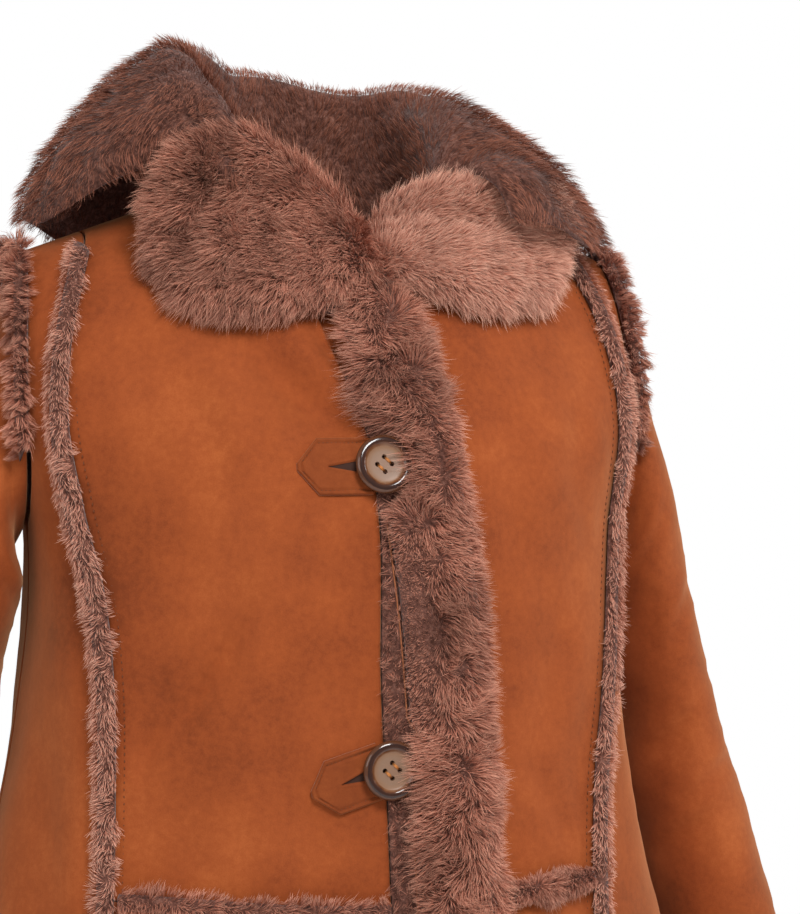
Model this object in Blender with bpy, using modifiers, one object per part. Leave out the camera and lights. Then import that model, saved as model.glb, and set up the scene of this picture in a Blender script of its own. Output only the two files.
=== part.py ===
"""Shearling coat: suede outside, wool inside, with wool trim along its edges and seams.

Metres, +Z up, the wearer's front towards -Y, the wearer's left towards +X. The origin is the
middle of the neck, level with the points where the shoulder seams meet the neckline. Every panel
is a wall laid out on one body surface, so neighbours meet at their seams, and every trim is made
from that surface's points, moved out.
"""

import math

import bmesh
import bpy
import numpy as np
from mathutils import Vector

COAT_LENGTH = 0.960
ARMPIT_DROP = 0.215
SHOULDER_SLOPE = math.radians(20)
SHOULDER_BEND = 0.020
NECK_WIDE, NECK_FRONT, NECK_BACK = 0.076, 0.096, 0.040
RIDGE_Y = 0.008
RING_POWER = 2.5

HIDE = 0.006
GAP = 0.0006
SEAM_X = 0.0010
SHOULDER_SEAM = 0.004
TRIM_LIFT = 0.0013
SIDE_SEAM = 0.9992

# The body surface: how wide and deep the coat is at each drop below the neck points.
BODY = (
    # drop, half width, front depth, back depth
    (0.000, 0.216, 0.112, 0.100),
    (0.100, 0.213, 0.121, 0.106),
    (0.150, 0.207, 0.130, 0.113),
    (0.215, 0.190, 0.138, 0.118),
    (0.250, 0.189, 0.142, 0.119),
    (0.335, 0.198, 0.146, 0.119),
    (0.440, 0.218, 0.149, 0.124),
    (0.600, 0.245, 0.162, 0.148),
    (0.800, 0.280, 0.182, 0.178),
    (0.960, 0.305, 0.200, 0.200),
)
# The armhole's edge, from the shoulder seam (0) down to the armpit (1).
ARMHOLE = (
    # share of the way down, x
    (0.0, 0.192),
    (0.3, 0.196),
    (0.6, 0.197),
    (0.8, 0.194),
    (1.0, 0.190),
)
# The seam between the front panel and the side panel.
PRINCESS = (
    # drop, x on the wearer's left, x on the right
    (0.030, 0.154, 0.154),
    (0.060, 0.166, 0.165),
    (0.100, 0.178, 0.176),
    (0.150, 0.183, 0.180),
    (0.200, 0.177, 0.172),
    (0.250, 0.171, 0.162),
    (0.310, 0.162, 0.158),
    (0.370, 0.151, 0.159),
    (0.440, 0.147, 0.162),
    (0.600, 0.160, 0.174),
    (0.960, 0.200, 0.206),
)
WAIST_DROP, WAIST_DIP, WAIST_DIP_REACH = 0.432, 0.010, 0.16

# The middle of the wool band down the wearer's right front, which overlaps the left one.
FRONT_BAND = (
    # drop, x
    (0.060, 0.015),
    (0.100, 0.0175),
    (0.150, 0.027),
    (0.200, 0.033),
    (0.270, 0.040),
    (0.400, 0.048),
    (0.960, 0.048),
)
FRONT_BAND_SIZE = (0.056, 0.020)
FRONT_BAND_TOP = 0.046
# The band narrows and thins towards its top, over these lengths and down to these shares.
BAND_NARROWING, BAND_TOP_WIDE = 0.05, 0.4
BAND_THINNING, BAND_TOP_HIGH = 0.02, 0.5
# The free edge of the wearer's right front, beside the band.
FRONT_EDGE = (
    # drop, x
    (0.050, -0.034),
    (0.100, -0.020),
    (0.150, -0.004),
    (0.200, 0.001),
    (0.300, 0.000),
    (0.400, 0.004),
    (0.960, 0.004),
)
UNDERLAP_X, UNDERLAP_DEEP, UNDERLAP_RUN = -0.036, 0.0085, 0.030
# The wool between the free edge and the band: its top, and how far it goes on below the band.
EDGE_WOOL_TOP, EDGE_WOOL_UNDER = 0.12, 0.012
PRINCESS_BAND_SIZE = (0.014, 0.009)
# The princess band's stations: from its top to a first drop, to a second, and on to the hem.
PRINCESS_BAND_TOP, PRINCESS_BAND_FIRST, PRINCESS_BAND_SECOND = 0.043, 0.062, 0.30
WAIST_BAND_SIZE = (0.016, 0.009)
# How far the waist band's ends stay clear of the princess band, the front band and the free edge.
WAIST_BAND_ENDS = (0.0008, 0.001, 0.002)
ARMHOLE_BAND_FOOT, ARMHOLE_BAND_HIGH = 0.006, 0.012
ARCH_FOOT = 0.25  # a strip's height at its edges, as a share of the height at its middle
NECK_RIM_DROP = 0.03  # where the body's depth is read for the neckline

BUTTON_DROPS = (0.175, 0.356, 0.537, 0.718)
BUTTON_ACROSS, BUTTON_THICK = 0.036, 0.0055
BUTTON_HOLE, BUTTON_HOLE_RING = 0.0030, 0.0046
TAB_LONG, TAB_WIDE, TAB_POINT, TAB_THICK = 0.047, 0.034, 0.013, 0.0016
TAB_TIP_SHARE = 0.12  # half width at the tip, as a share of half the whole width
TAB_LIFT, TAB_EDGE_CLEAR = 0.0009, 0.001
TAB_TILTS = (0.0, 17.0, 8.0, 4.0)
BUTTON_X, BUTTON_LIFT = 0.004, 0.004
# The notch in the band beside a button: half its height, the slope of its ends, its clearance.
NOTCH_HALF, NOTCH_SLOPE, NOTCH_CLEAR = 0.019, 0.012, 0.001
BUTTON_PROFILE = (
    # share of the radius, share of the thickness
    (0.00, 0.62),
    (0.45, 0.60),
    (0.66, 0.70),
    (0.74, 1.00),
    (0.88, 1.00),
    (1.00, 0.62),
    (0.96, 0.20),
    (0.80, 0.00),
    (0.00, 0.00),
)
BUTTON_SIDES, HOLE_SIDES, HOLE_COUNT = 14, 6, 4

# The collar folds over a roll and falls to its edge. Angles turn about the neck, from the
# wearer's left (0) by the back (90) to the wearer's right (180).
COLLAR = (
    # angle, roll out, roll up, edge out, edge up
    (-26.0, 0.088, 0.046, 0.176, -0.030),
    (-10.0, 0.080, 0.056, 0.188, -0.026),
    (10.0, 0.076, 0.060, 0.190, -0.026),
    (40.0, 0.072, 0.064, 0.150, -0.056),
    (90.0, 0.066, 0.070, 0.110, -0.075),
    (135.0, 0.074, 0.078, 0.155, -0.052),
    (165.0, 0.088, 0.084, 0.186, -0.020),
    (185.0, 0.098, 0.084, 0.180, -0.024),
    (204.0, 0.104, 0.070, 0.152, 0.002),
)
COLLAR_THICK, COLLAR_LIFT, ROLL, LEAF_BULGE = 0.015, 0.005, 0.012, 0.010
# How thin the collar is at its edge and at its front ends, as shares of its thickness.
COLLAR_EDGE_SHARE, COLLAR_END_SHARE = 0.55, 0.7

# Each lapel is a thick leaf of wool on the front, about its middle.
LAPELS = {
    # side: middle x, middle drop, half width, half height, turn in degrees, corner power
    "right": (-0.072, 0.032, 0.054, 0.058, 4.0, 2.3),
    "left": (0.091, 0.043, 0.055, 0.040, -4.0, 2.3),
}
LAPEL_THICK, LAPEL_LIFT, LAPEL_STAND, LAPEL_LEAN = 0.026, 0.004, 0.035, 0.25

# The sleeve's rings, from the armhole to the cuff.
SLEEVE = (
    # along, x, y, z, lean in degrees, half width, half depth
    (0.00, 0.194, -0.001, -0.130, 3.0, 0.082, 0.062),
    (0.10, 0.203, 0.006, -0.153, 7.0, 0.069, 0.062),
    (0.20, 0.214, 0.013, -0.197, 28.0, 0.044, 0.063),
    (0.32, 0.226, 0.018, -0.256, 70.0, 0.032, 0.064),
    (0.45, 0.241, 0.022, -0.325, 76.0, 0.034, 0.064),
    (0.65, 0.268, 0.022, -0.430, 77.0, 0.040, 0.063),
    (0.83, 0.290, 0.010, -0.525, 78.0, 0.043, 0.061),
    (1.00, 0.306, -0.008, -0.605, 80.0, 0.045, 0.062),
)
SLEEVE_ROWS = (0, 0.04, 0.09, 0.14, 0.20, 0.27, 0.36, 0.50, 0.65, 0.83, 1.0)
ARMHOLE_HOLD, ARMHOLE_STATIONS, SLEEVE_GAP = 0.28, 10, 0.0015

# How finely each piece is divided.
FRONT_COLUMNS, SIDE_COLUMNS, BACK_COLUMNS = 8, 3, 14
UPPER_ROWS, LOWER_ROWS, BACK_ROWS = 12, 5, 14
BAND_ROWS, BAND_COLUMNS, SEAM_BAND_COLUMNS = 17, 5, 4
EDGE_ROWS, EDGE_COLUMNS, WAIST_ROWS = 21, 3, 12
COLLAR_ROWS, STAND_COLUMNS, ROLL_COLUMNS, LEAF_COLUMNS = 17, 4, 6, 6
LAPEL_ROWS, TAB_ROWS, TAB_COLUMNS = 9, 3, 7

# The materials.
# slot, colour, roughness
SUEDE = ("suede", (0.42, 0.15, 0.045), 0.85)
WOOL = ("wool", (0.16, 0.08, 0.06), 0.95)
HORN = ("horn", (0.35, 0.22, 0.14), 0.25)


# Curves through tables

def through(table, column):
    """A smooth curve through one column of a table, against the table's first column."""
    at = np.array([row[0] for row in table])
    value = np.array([row[column] for row in table])
    slope = np.gradient(value, at)

    def curve(where):
        where = np.clip(where, at[0], at[-1])
        i = np.clip(np.searchsorted(at, where) - 1, 0, len(at) - 2)
        step = at[i + 1] - at[i]
        u = (where - at[i]) / step
        levels = (1 + 2 * u) * (1 - u) ** 2 * value[i] + u * u * (3 - 2 * u) * value[i + 1]
        bends = u * (1 - u) ** 2 * slope[i] + u * u * (u - 1) * slope[i + 1]
        return levels + step * bends

    return curve


half_width = through(BODY, 1)
depth = {-1: through(BODY, 2), 1: through(BODY, 3)}
armhole_x = through(ARMHOLE, 1)
princess_x = {1: through(PRINCESS, 1), -1: through(PRINCESS, 2)}
band_x = through(FRONT_BAND, 1)
edge_x = through(FRONT_EDGE, 1)


def eased(share):
    """From 0 to 1 with level ends."""
    share = np.clip(share, 0, 1)
    return share * share * (3 - 2 * share)


def mix(a, b, share):
    """The value this share of the way from a to b."""
    return a + (b - a) * share


# The body surface

def ridge(x):
    """The height of the shoulder line at x."""
    past = np.abs(x) - NECK_WIDE
    return -math.tan(SHOULDER_SLOPE) * (past + np.sqrt(past**2 + SHOULDER_BEND**2)) / 2


def ring_depth(x, drop, face):
    """How far the ring at this drop reaches in front (face -1) or behind (face 1) at x."""
    share = np.clip(np.abs(x) / half_width(drop), 0, 1)
    return depth[face](drop) * (1 - share**RING_POWER) ** (1 / RING_POWER)


def level(down):
    """The drop of a down value below the armpits."""
    return ARMPIT_DROP + np.clip(down - 1, 0, 1) * (COAT_LENGTH - ARMPIT_DROP)


def body(across, down, face):
    """A point of the coat's outer surface. Across runs from -1 to 1 between the sides. Down is 0
    at the shoulder line, 1 at the armpits and 2 at the hem."""
    across, down = np.broadcast_arrays(across, down)
    turn = np.clip(across, -1, 1) * math.pi / 2
    share = np.sign(turn) * np.abs(np.sin(turn)) ** (2 / RING_POWER)
    rise = np.clip(down, 0, 1) * math.pi / 2
    x_upper = armhole_x(1 - np.cos(rise)) * share
    top = ridge(x_upper)
    z_upper = top - (1 - np.cos(rise)) * (ARMPIT_DROP + top)
    reach = face * ring_depth(x_upper, -z_upper, face)
    y_upper = mix(RIDGE_Y, reach, np.sin(rise))
    x_lower = half_width(level(down)) * share
    y_lower = face * ring_depth(x_lower, level(down), face)
    upper = np.stack([x_upper, y_upper, z_upper], axis=-1)
    lower = np.stack([x_lower, y_lower, -level(down)], axis=-1)
    return np.where((down > 1)[..., None], lower, upper)


def outward(across, down, face):
    """The unit normal of the body surface, read just inside its edges."""
    step = 1e-3
    across, down = np.broadcast_arrays(np.clip(across, -0.99, 0.99), np.clip(down, 0.01, 1.99))
    sideways = body(across + step, down, face) - body(across - step, down, face)
    downward = body(across, down + step, face) - body(across, down - step, face)
    normal = np.cross(sideways, downward) * face
    return normal / np.linalg.norm(normal, axis=-1, keepdims=True)


def down_of(x, drop):
    """The down value of a place given by its x and its drop."""
    top = ridge(x)
    share = np.clip((drop + top) / (ARMPIT_DROP + top), 0, 1)
    upper = np.arccos(1 - share) / (math.pi / 2)
    lower = 1 + (drop - ARMPIT_DROP) / (COAT_LENGTH - ARMPIT_DROP)
    return np.where(drop > ARMPIT_DROP, lower, upper)


def drop_of(x, down):
    """The drop of a place given by its x and its down value."""
    top = ridge(x)
    upper = (1 - np.cos(np.clip(down, 0, 1) * math.pi / 2)) * (ARMPIT_DROP + top) - top
    return np.where(down > 1, level(down), upper)


def across_of(x, down):
    """The across value of a place given by its x and its down value."""
    rise = np.clip(down, 0, 1) * math.pi / 2
    widest = np.where(down > 1, half_width(level(down)), armhole_x(1 - np.cos(rise)))
    share = np.clip(np.abs(x) / widest, 0, 1)
    return np.sign(x) * np.arcsin(share ** (RING_POWER / 2)) / (math.pi / 2)


def place(x, drop, lift=0.0, face=-1):
    """The point at x and drop on the body surface, moved out by lift."""
    x, drop = np.broadcast_arrays(x, drop)
    down = down_of(x, drop)
    across = across_of(x, down)
    return body(across, down, face) + outward(across, down, face) * np.asarray(lift)[..., None]


def line_across(line, down):
    """Where a line, given as x against drop, crosses a down value."""
    x = np.full(np.shape(down), 0.1)
    for _ in range(8):
        x = line(drop_of(x, down))
    return across_of(x, down)


def neckline(x, face):
    """The down value of the neck's edge at x."""
    reach = {-1: NECK_FRONT, 1: NECK_BACK}[face] * np.sqrt(np.clip(1 - (x / NECK_WIDE) ** 2, 0, 1))
    share = reach / (depth[face](NECK_RIM_DROP) - face * RIDGE_Y)
    return np.maximum(np.arcsin(share) / (math.pi / 2), SHOULDER_SEAM)


# Meshes

def finish(name, bm, look):
    """Turns a mesh under construction into a shaded object in the coat's collection."""
    mesh = bpy.data.meshes.new(name)
    bm.to_mesh(mesh)
    bm.free()
    mesh.shade_smooth()
    mesh.set_sharp_from_angle(angle=math.radians(40))
    slot, colour, roughness = look
    made = bpy.data.materials.get(slot)
    if made is None:
        made = bpy.data.materials.new(slot)
        made.use_nodes = True
        shader = made.node_tree.nodes["Principled BSDF"]
        shader.inputs["Base Color"].default_value = (*colour, 1)
        shader.inputs["Roughness"].default_value = roughness
        shader.inputs["Metallic"].default_value = 0
    mesh.materials.append(made)
    obj = bpy.data.objects.new(name, mesh)
    COAT.objects.link(obj)
    return obj


def wall(name, outer, inner, look):
    """A closed wall between two grids of points, each an array of rows and columns. Where the
    first and last rows or columns coincide, the wall closes into a tube or a ring."""
    rows, columns = outer.shape[:2]
    bm = bmesh.new()
    bmesh.ops.create_grid(bm, x_segments=columns - 1, y_segments=rows - 1, size=1)
    row_of = bm.verts.layers.int.new("row")
    column_of = bm.verts.layers.int.new("column")
    for vert in bm.verts:
        vert[row_of] = round((vert.co.y + 1) / 2 * (rows - 1))
        vert[column_of] = round((vert.co.x + 1) / 2 * (columns - 1))
        vert.co = outer[vert[row_of], vert[column_of]]
    bmesh.ops.remove_doubles(bm, verts=bm.verts, dist=1e-6)
    moved = bmesh.ops.extrude_face_region(bm, geom=bm.faces[:], use_keep_orig=True)
    for vert in moved["geom"]:
        if isinstance(vert, bmesh.types.BMVert):
            vert.co = inner[vert[row_of], vert[column_of]]
    bmesh.ops.recalc_face_normals(bm, faces=bm.faces)
    return finish(name, bm, look)


def normals(points):
    """The unit normals of a grid whose first and last columns coincide, from its neighbours."""
    ring = np.concatenate([points[:, -2:-1], points, points[:, 1:2]], axis=1)
    around = ring[:, 2:] - ring[:, :-2]
    along = np.gradient(points, axis=0)
    normal = np.cross(around, along)
    return normal / np.linalg.norm(normal, axis=-1, keepdims=True)


# The panels

def patch(left, right, top, bottom, face, columns, rows):
    """The across and down values of a grid between two seams, each an across value against down,
    and between a top and a bottom, each a down value against x."""
    share = np.linspace(0, 1, columns + 1)[None, :]
    ends = []
    for end in (top, bottom):
        down = np.full((1, columns + 1), 0.5)
        for _ in range(12):
            across = mix(left(down), right(down), share)
            down = end(body(across, down, face)[..., 0])
        ends.append(down)
    down = mix(ends[0], ends[1], np.linspace(0, 1, rows + 1)[:, None])
    return mix(left(down), right(down), share), down


def panel(name, cut, face, sink=None):
    """A wall of hide on the body surface. Sink says how far each of its points lies inside it."""
    across, down = cut
    points = body(across, down, face)
    away = outward(across, down, face)
    inside = np.zeros_like(down) if sink is None else sink(points[..., 0], -points[..., 2])
    outer = points - away * inside[..., None]
    return wall(name, outer, outer - away * HIDE, SUEDE)


def princess(side, gap):
    """The princess seam's across value against down, moved outwards by gap."""
    return lambda down: side * line_across(lambda drop: princess_x[side](drop) + gap, down)


def level_cut(drop, dip=0.0):
    """A cut at one drop, dipping by dip at the middle of the front."""
    return lambda x: down_of(x, drop + dip * (1 - eased(np.abs(x) / WAIST_DIP_REACH)))


def right_edge(down):
    """The free edge of the wearer's right front."""
    return line_across(edge_x, down)


def left_edge(down):
    """The free edge of the wearer's left front, under the right one."""
    return line_across(lambda drop: np.full_like(drop, UNDERLAP_X), down)


def right_side(down):
    """The side seam on the wearer's right."""
    return np.full_like(down, -SIDE_SEAM)


def left_side(down):
    """The side seam on the wearer's left."""
    return np.full_like(down, SIDE_SEAM)


def under(x, drop):
    """How far the left front lies inside the body surface, to pass under the right one."""
    clear = band_x(drop) + FRONT_BAND_SIZE[0] / 2
    return UNDERLAP_DEEP * (1 - eased((x - clear) / UNDERLAP_RUN + 1))


def front_top(x):
    """The top of a front: the neckline, and beyond the neck the shoulder seam."""
    return np.where(np.abs(x) < NECK_WIDE, neckline(x, -1), SHOULDER_SEAM)


def back_top(x):
    """The top of the back: the neckline, and beyond the neck the shoulder seam."""
    return np.where(np.abs(x) < NECK_WIDE, neckline(x, 1), SHOULDER_SEAM)


def make_panels():
    seam = SEAM_X / 2
    waist_above = level_cut(WAIST_DROP - GAP / 2, WAIST_DIP)
    waist_below = level_cut(WAIST_DROP + GAP / 2, WAIST_DIP)
    hem = level_cut(COAT_LENGTH)
    fronts = {
        "right": (princess(-1, -seam), right_edge, None),
        "left": (left_edge, princess(1, -seam), under),
    }
    for side, (start, end, sink) in fronts.items():
        front = patch(start, end, front_top, waist_above, -1, FRONT_COLUMNS, UPPER_ROWS)
        panel("front_" + side, front, -1, sink)
        skirt = patch(start, end, waist_below, hem, -1, FRONT_COLUMNS, LOWER_ROWS)
        panel("skirt_front_" + side, skirt, -1, sink)
    sides = {
        "right": (right_side, princess(-1, seam)),
        "left": (princess(1, seam), left_side),
    }
    for side, (start, end) in sides.items():
        upper = patch(start, end, front_top, waist_above, -1, SIDE_COLUMNS, UPPER_ROWS)
        lower = patch(start, end, waist_below, hem, -1, SIDE_COLUMNS, LOWER_ROWS)
        both = [np.concatenate([a, b[1:]]) for a, b in zip(upper, lower)]
        panel("side_" + side, both, -1)
    back = patch(right_side, left_side, back_top, hem, 1, BACK_COLUMNS, BACK_ROWS)
    panel("back", back, 1)


# The sleeves

def armhole(side, count):
    """The armhole's edge as a ring: from the shoulder down the front and up the back."""
    down = np.linspace(0, 1, count + 1)
    front = body(np.full_like(down, side), down, -1)
    behind = body(np.full_like(down, side), down[::-1], 1)
    return np.concatenate([front, behind[1:]])


def sleeve_ring(side, along, count):
    """The sleeve's outer ring at one share of its length."""
    values = [through(SLEEVE, column)(along) for column in range(1, 7)]
    first = [through(SLEEVE, column)(0.0) for column in range(1, 4)]
    x, y, z, lean, wide, deep = values
    lean = math.radians(lean)
    turn = np.linspace(0, 2 * math.pi, 2 * count + 1)
    up, front = np.cos(turn) * wide, np.sin(turn) * deep
    oval = np.stack(
        [side * (x + up * math.sin(lean)), y - front, z + up * math.cos(lean)], axis=-1
    )
    moved = np.array([side * (x - first[0] + SLEEVE_GAP), y - first[1], z - first[2]])
    held = armhole(side, count) + moved
    ring = mix(held, oval, eased(along / ARMHOLE_HOLD))
    ring[-1] = ring[0]
    return ring


def make_sleeves():
    for side, sign in (("right", -1), ("left", 1)):
        outer = np.array([sleeve_ring(sign, along, ARMHOLE_STATIONS) for along in SLEEVE_ROWS])
        away = normals(outer) * sign
        away[0, :, 0] = 0
        away /= np.linalg.norm(away, axis=-1, keepdims=True)
        wall("sleeve_" + side, outer, outer - away * HIDE, SUEDE)


# The trims

def arched(across):
    """A strip's share of its full height, from its middle (0) to its edges (-1 and 1)."""
    return mix(ARCH_FOOT, 1, np.sqrt(np.clip(1 - across**2, 0, 1)))


def band(name, x, drop, size):
    """A strip of wool along a line on the front, arched across its width."""
    across = np.linspace(-1, 1, SEAM_BAND_COLUMNS)[None, :]
    wide, high = size
    slope_x, slope_drop = np.gradient(x), np.gradient(drop)
    run = np.hypot(slope_x, slope_drop) * 2 / wide
    x_at = x[:, None] + across * (slope_drop / run)[:, None]
    drop_at = drop[:, None] - across * (slope_x / run)[:, None]
    drop_at = np.minimum(drop_at, COAT_LENGTH)
    outer = place(x_at, drop_at, TRIM_LIFT + arched(across) * high)
    wall(name, outer, place(x_at, drop_at, TRIM_LIFT), WOOL)


def make_front_band():
    """The band down the front edge. Beside each button it makes room for it."""
    notch_end = NOTCH_HALF + NOTCH_SLOPE
    notch = np.array([-notch_end, -NOTCH_HALF, 0, NOTCH_HALF, notch_end])
    drop = [np.linspace(FRONT_BAND_TOP, COAT_LENGTH, BAND_ROWS)]
    drop = np.unique(np.concatenate(drop + [button + notch for button in BUTTON_DROPS]))
    below_top = drop - FRONT_BAND_TOP
    middle = band_x(drop)
    wide = FRONT_BAND_SIZE[0] / 2 * mix(BAND_TOP_WIDE, 1, eased(below_top / BAND_NARROWING))
    left, right = middle - wide, middle + wide
    beside_button = BUTTON_X + BUTTON_ACROSS / 2 + NOTCH_CLEAR
    for button in BUTTON_DROPS:
        near = 1 - eased((np.abs(drop - button) - NOTCH_HALF) / NOTCH_SLOPE)
        left = np.where(near > 0, np.maximum(left, mix(left, beside_button, near)), left)
    across = np.linspace(-1, 1, BAND_COLUMNS)[None, :]
    x_at = mix(left[:, None], right[:, None], (across + 1) / 2)
    high = FRONT_BAND_SIZE[1] * mix(BAND_TOP_HIGH, 1, eased(below_top / BAND_THINNING))[:, None]
    outer = place(x_at, drop[:, None], TRIM_LIFT + arched(across) * high)
    wall("front_band", outer, place(x_at, drop[:, None], TRIM_LIFT), WOOL)


def make_edge_wool():
    """The strip of wool between the right front's edge and the band."""
    drop = np.linspace(EDGE_WOOL_TOP, COAT_LENGTH, EDGE_ROWS)
    start = edge_x(drop) + 3 * GAP
    end = np.maximum(band_x(drop) - FRONT_BAND_SIZE[0] / 2, start) + EDGE_WOOL_UNDER
    x_at = mix(start[:, None], end[:, None], np.linspace(0, 1, EDGE_COLUMNS)[None, :])
    top = place(x_at, drop[:, None], -GAP)
    wall("front_edge", top, place(x_at, drop[:, None], -HIDE + GAP), WOOL)


def make_seam_bands():
    """The wool along the princess seams, and along the waist seams between them and the front."""
    by_princess, by_band, by_edge = WAIST_BAND_ENDS
    inner_ends = {
        -1: float(edge_x(WAIST_DROP)) - by_edge,
        1: float(band_x(WAIST_DROP)) + FRONT_BAND_SIZE[0] / 2 + by_band,
    }
    stations = np.concatenate([
        np.linspace(PRINCESS_BAND_TOP, PRINCESS_BAND_FIRST, 4),
        np.linspace(PRINCESS_BAND_FIRST, PRINCESS_BAND_SECOND, 13)[1:],
        np.linspace(PRINCESS_BAND_SECOND, COAT_LENGTH, 11)[1:],
    ])
    for side, sign in (("right", -1), ("left", 1)):
        line = sign * princess_x[sign](stations)
        band("princess_band_" + side, line, stations, PRINCESS_BAND_SIZE)
        outer_x = float(princess_x[sign](WAIST_DROP)) - PRINCESS_BAND_SIZE[0] / 2 - by_princess
        x = np.linspace(sign * outer_x, inner_ends[sign], WAIST_ROWS)
        drop = WAIST_DROP + WAIST_DIP * (1 - eased(np.abs(x) / WAIST_DIP_REACH))
        band("waist_band_" + side, x, drop, WAIST_BAND_SIZE)


def make_armhole_bands():
    """A strip of wool round each armhole, from low in front over the shoulder to low behind. Its
    foot lies on the panel on one side of the seam and on the sleeve on the other."""
    stations, keep = ARMHOLE_STATIONS, ARMHOLE_STATIONS - 2
    order = list(range(2 * stations - keep, 2 * stations)) + list(range(keep + 1))
    for side, sign in (("right", -1), ("left", 1)):
        down = np.linspace(0, 1, stations + 1)
        down = np.concatenate([down, down[-2::-1]])
        face = np.where(np.arange(2 * stations + 1) <= stations, -1, 1)
        seam, away = [], []
        for at in range(2 * stations + 1):
            seam.append(body(sign, down[at], face[at]))
            away.append(outward(sign, down[at], face[at]))
        seam, away = np.array(seam), np.array(away)
        near = np.array([sleeve_ring(sign, along, stations) for along in SLEEVE_ROWS[:2]])
        leaving = normals(near)[1] * sign
        up = away + leaving
        up /= np.linalg.norm(up, axis=-1, keepdims=True)
        base = []
        for foot in (ARMHOLE_BAND_FOOT, ARMHOLE_BAND_FOOT / 2):
            points = []
            for at in range(2 * stations + 1):
                x = seam[at, 0] - sign * foot * math.sqrt(max(0, 1 - away[at, 0] ** 2))
                across = across_of(x, down[at])
                lift = TRIM_LIFT * outward(across, down[at], face[at])
                points.append(body(across, down[at], face[at]) + lift)
            base.append(np.array(points))
        base.append(seam + up * 2 * TRIM_LIFT)
        base.append(mix(near[0], near[1], 0.5) + leaving * TRIM_LIFT)
        base.append(near[1] + leaving * TRIM_LIFT)
        base = np.array(base)[:, order]
        arch = arched(np.linspace(-1, 1, len(base)))[:, None, None]
        outer = base + up[order] * ARMHOLE_BAND_HIGH * arch
        wall("armhole_band_" + side, outer, base, WOOL)


def fold(start, centre, radius, end):
    """The points, out and up, of a strip that rises from start, turns over a round and falls,
    bulging a little, to end."""
    def touch(point, turn):
        away = point - centre
        return math.atan2(away[1], away[0]) + turn * math.acos(radius / np.hypot(*away))

    rise = touch(start, -1) % (2 * math.pi)
    fall = touch(end, 1) % (2 * math.pi)
    arc = [
        centre + radius * np.array([math.cos(turn), math.sin(turn)])
        for turn in np.linspace(rise, fall, ROLL_COLUMNS)
    ]
    stand = [mix(start, arc[0], share) for share in np.linspace(0, 1, STAND_COLUMNS)[:-1]]
    fallen = (end - arc[-1]) / np.linalg.norm(end - arc[-1])
    bulge = LEAF_BULGE * np.array([-fallen[1], fallen[0]])
    leaf = [
        mix(arc[-1], end, share) + bulge * math.sin(math.pi * share)
        for share in np.linspace(0, 1, LEAF_COLUMNS)[1:]
    ]
    return np.array(stand + arc + leaf)


def make_collar():
    """The collar stands inside the neck's edge and folds over."""
    angles = np.linspace(COLLAR[0][0], COLLAR[-1][0], COLLAR_ROWS)
    curves = [through(COLLAR, column) for column in range(1, 5)]
    outer, inner = [], []
    for number, angle in enumerate(angles):
        turn = math.radians(angle)
        deep = NECK_BACK if math.sin(turn) > 0 else NECK_FRONT
        reach = NECK_WIDE * deep / math.hypot(deep * math.cos(turn), NECK_WIDE * math.sin(turn))
        x = reach * math.cos(turn)
        face = 1 if math.sin(turn) > 0 else -1
        down = neckline(x, face)
        rise = body(across_of(x, down), down, face)[2]
        roll_out, roll_up, edge_out, edge_up = (float(curve(angle)) for curve in curves)
        start = np.array([reach - COLLAR_THICK / 2, rise + COLLAR_LIFT])
        line = fold(start, np.array([roll_out, roll_up - ROLL]), ROLL, np.array([edge_out, edge_up]))
        along = np.gradient(line, axis=0)
        along /= np.linalg.norm(along, axis=-1, keepdims=True)
        side = np.stack([-along[:, 1], along[:, 0]], axis=-1)
        slim = np.ones(len(line))
        slim[-1] = COLLAR_EDGE_SHARE
        slim *= COLLAR_END_SHARE if number in (0, len(angles) - 1) else 1
        for store, sign in ((outer, 1), (inner, -1)):
            at = line + side * (sign * COLLAR_THICK / 2 * slim)[:, None]
            store.append(
                np.stack(
                    [at[:, 0] * math.cos(turn), RIDGE_Y + at[:, 0] * math.sin(turn), at[:, 1]],
                    axis=-1,
                )
            )
    wall("collar", np.array(outer), np.array(inner), WOOL)


def make_lapels():
    """Each lapel is a rounded leaf, laid on the front and standing straight up past its slope."""
    for side, (middle_x, middle_drop, wide, high, turn, power) in LAPELS.items():
        u, v = np.meshgrid(np.linspace(-1, 1, LAPEL_ROWS), np.linspace(-1, 1, LAPEL_ROWS))
        size = np.maximum(np.abs(u), np.abs(v))
        stretch = size / np.maximum((np.abs(u) ** power + np.abs(v) ** power) ** (1 / power), 1e-9)
        u, v = u * stretch, v * stretch
        turn = math.radians(turn)
        x = middle_x + wide * u * math.cos(turn) - high * v * math.sin(turn)
        drop = middle_drop + wide * u * math.sin(turn) + high * v * math.cos(turn)
        laid = np.maximum(drop, LAPEL_STAND - ridge(x))
        up = np.array([0, -LAPEL_LEAN, 1]) * (laid - drop)[..., None]
        crown = mix(ARCH_FOOT, 1, np.sqrt(1 - np.clip(size, 0, 1) ** 4))
        base = place(x, laid, LAPEL_LIFT) + up
        outer = place(x, laid, LAPEL_LIFT + LAPEL_THICK * crown) + up
        wall("lapel_" + side, outer, base, WOOL)


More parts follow.
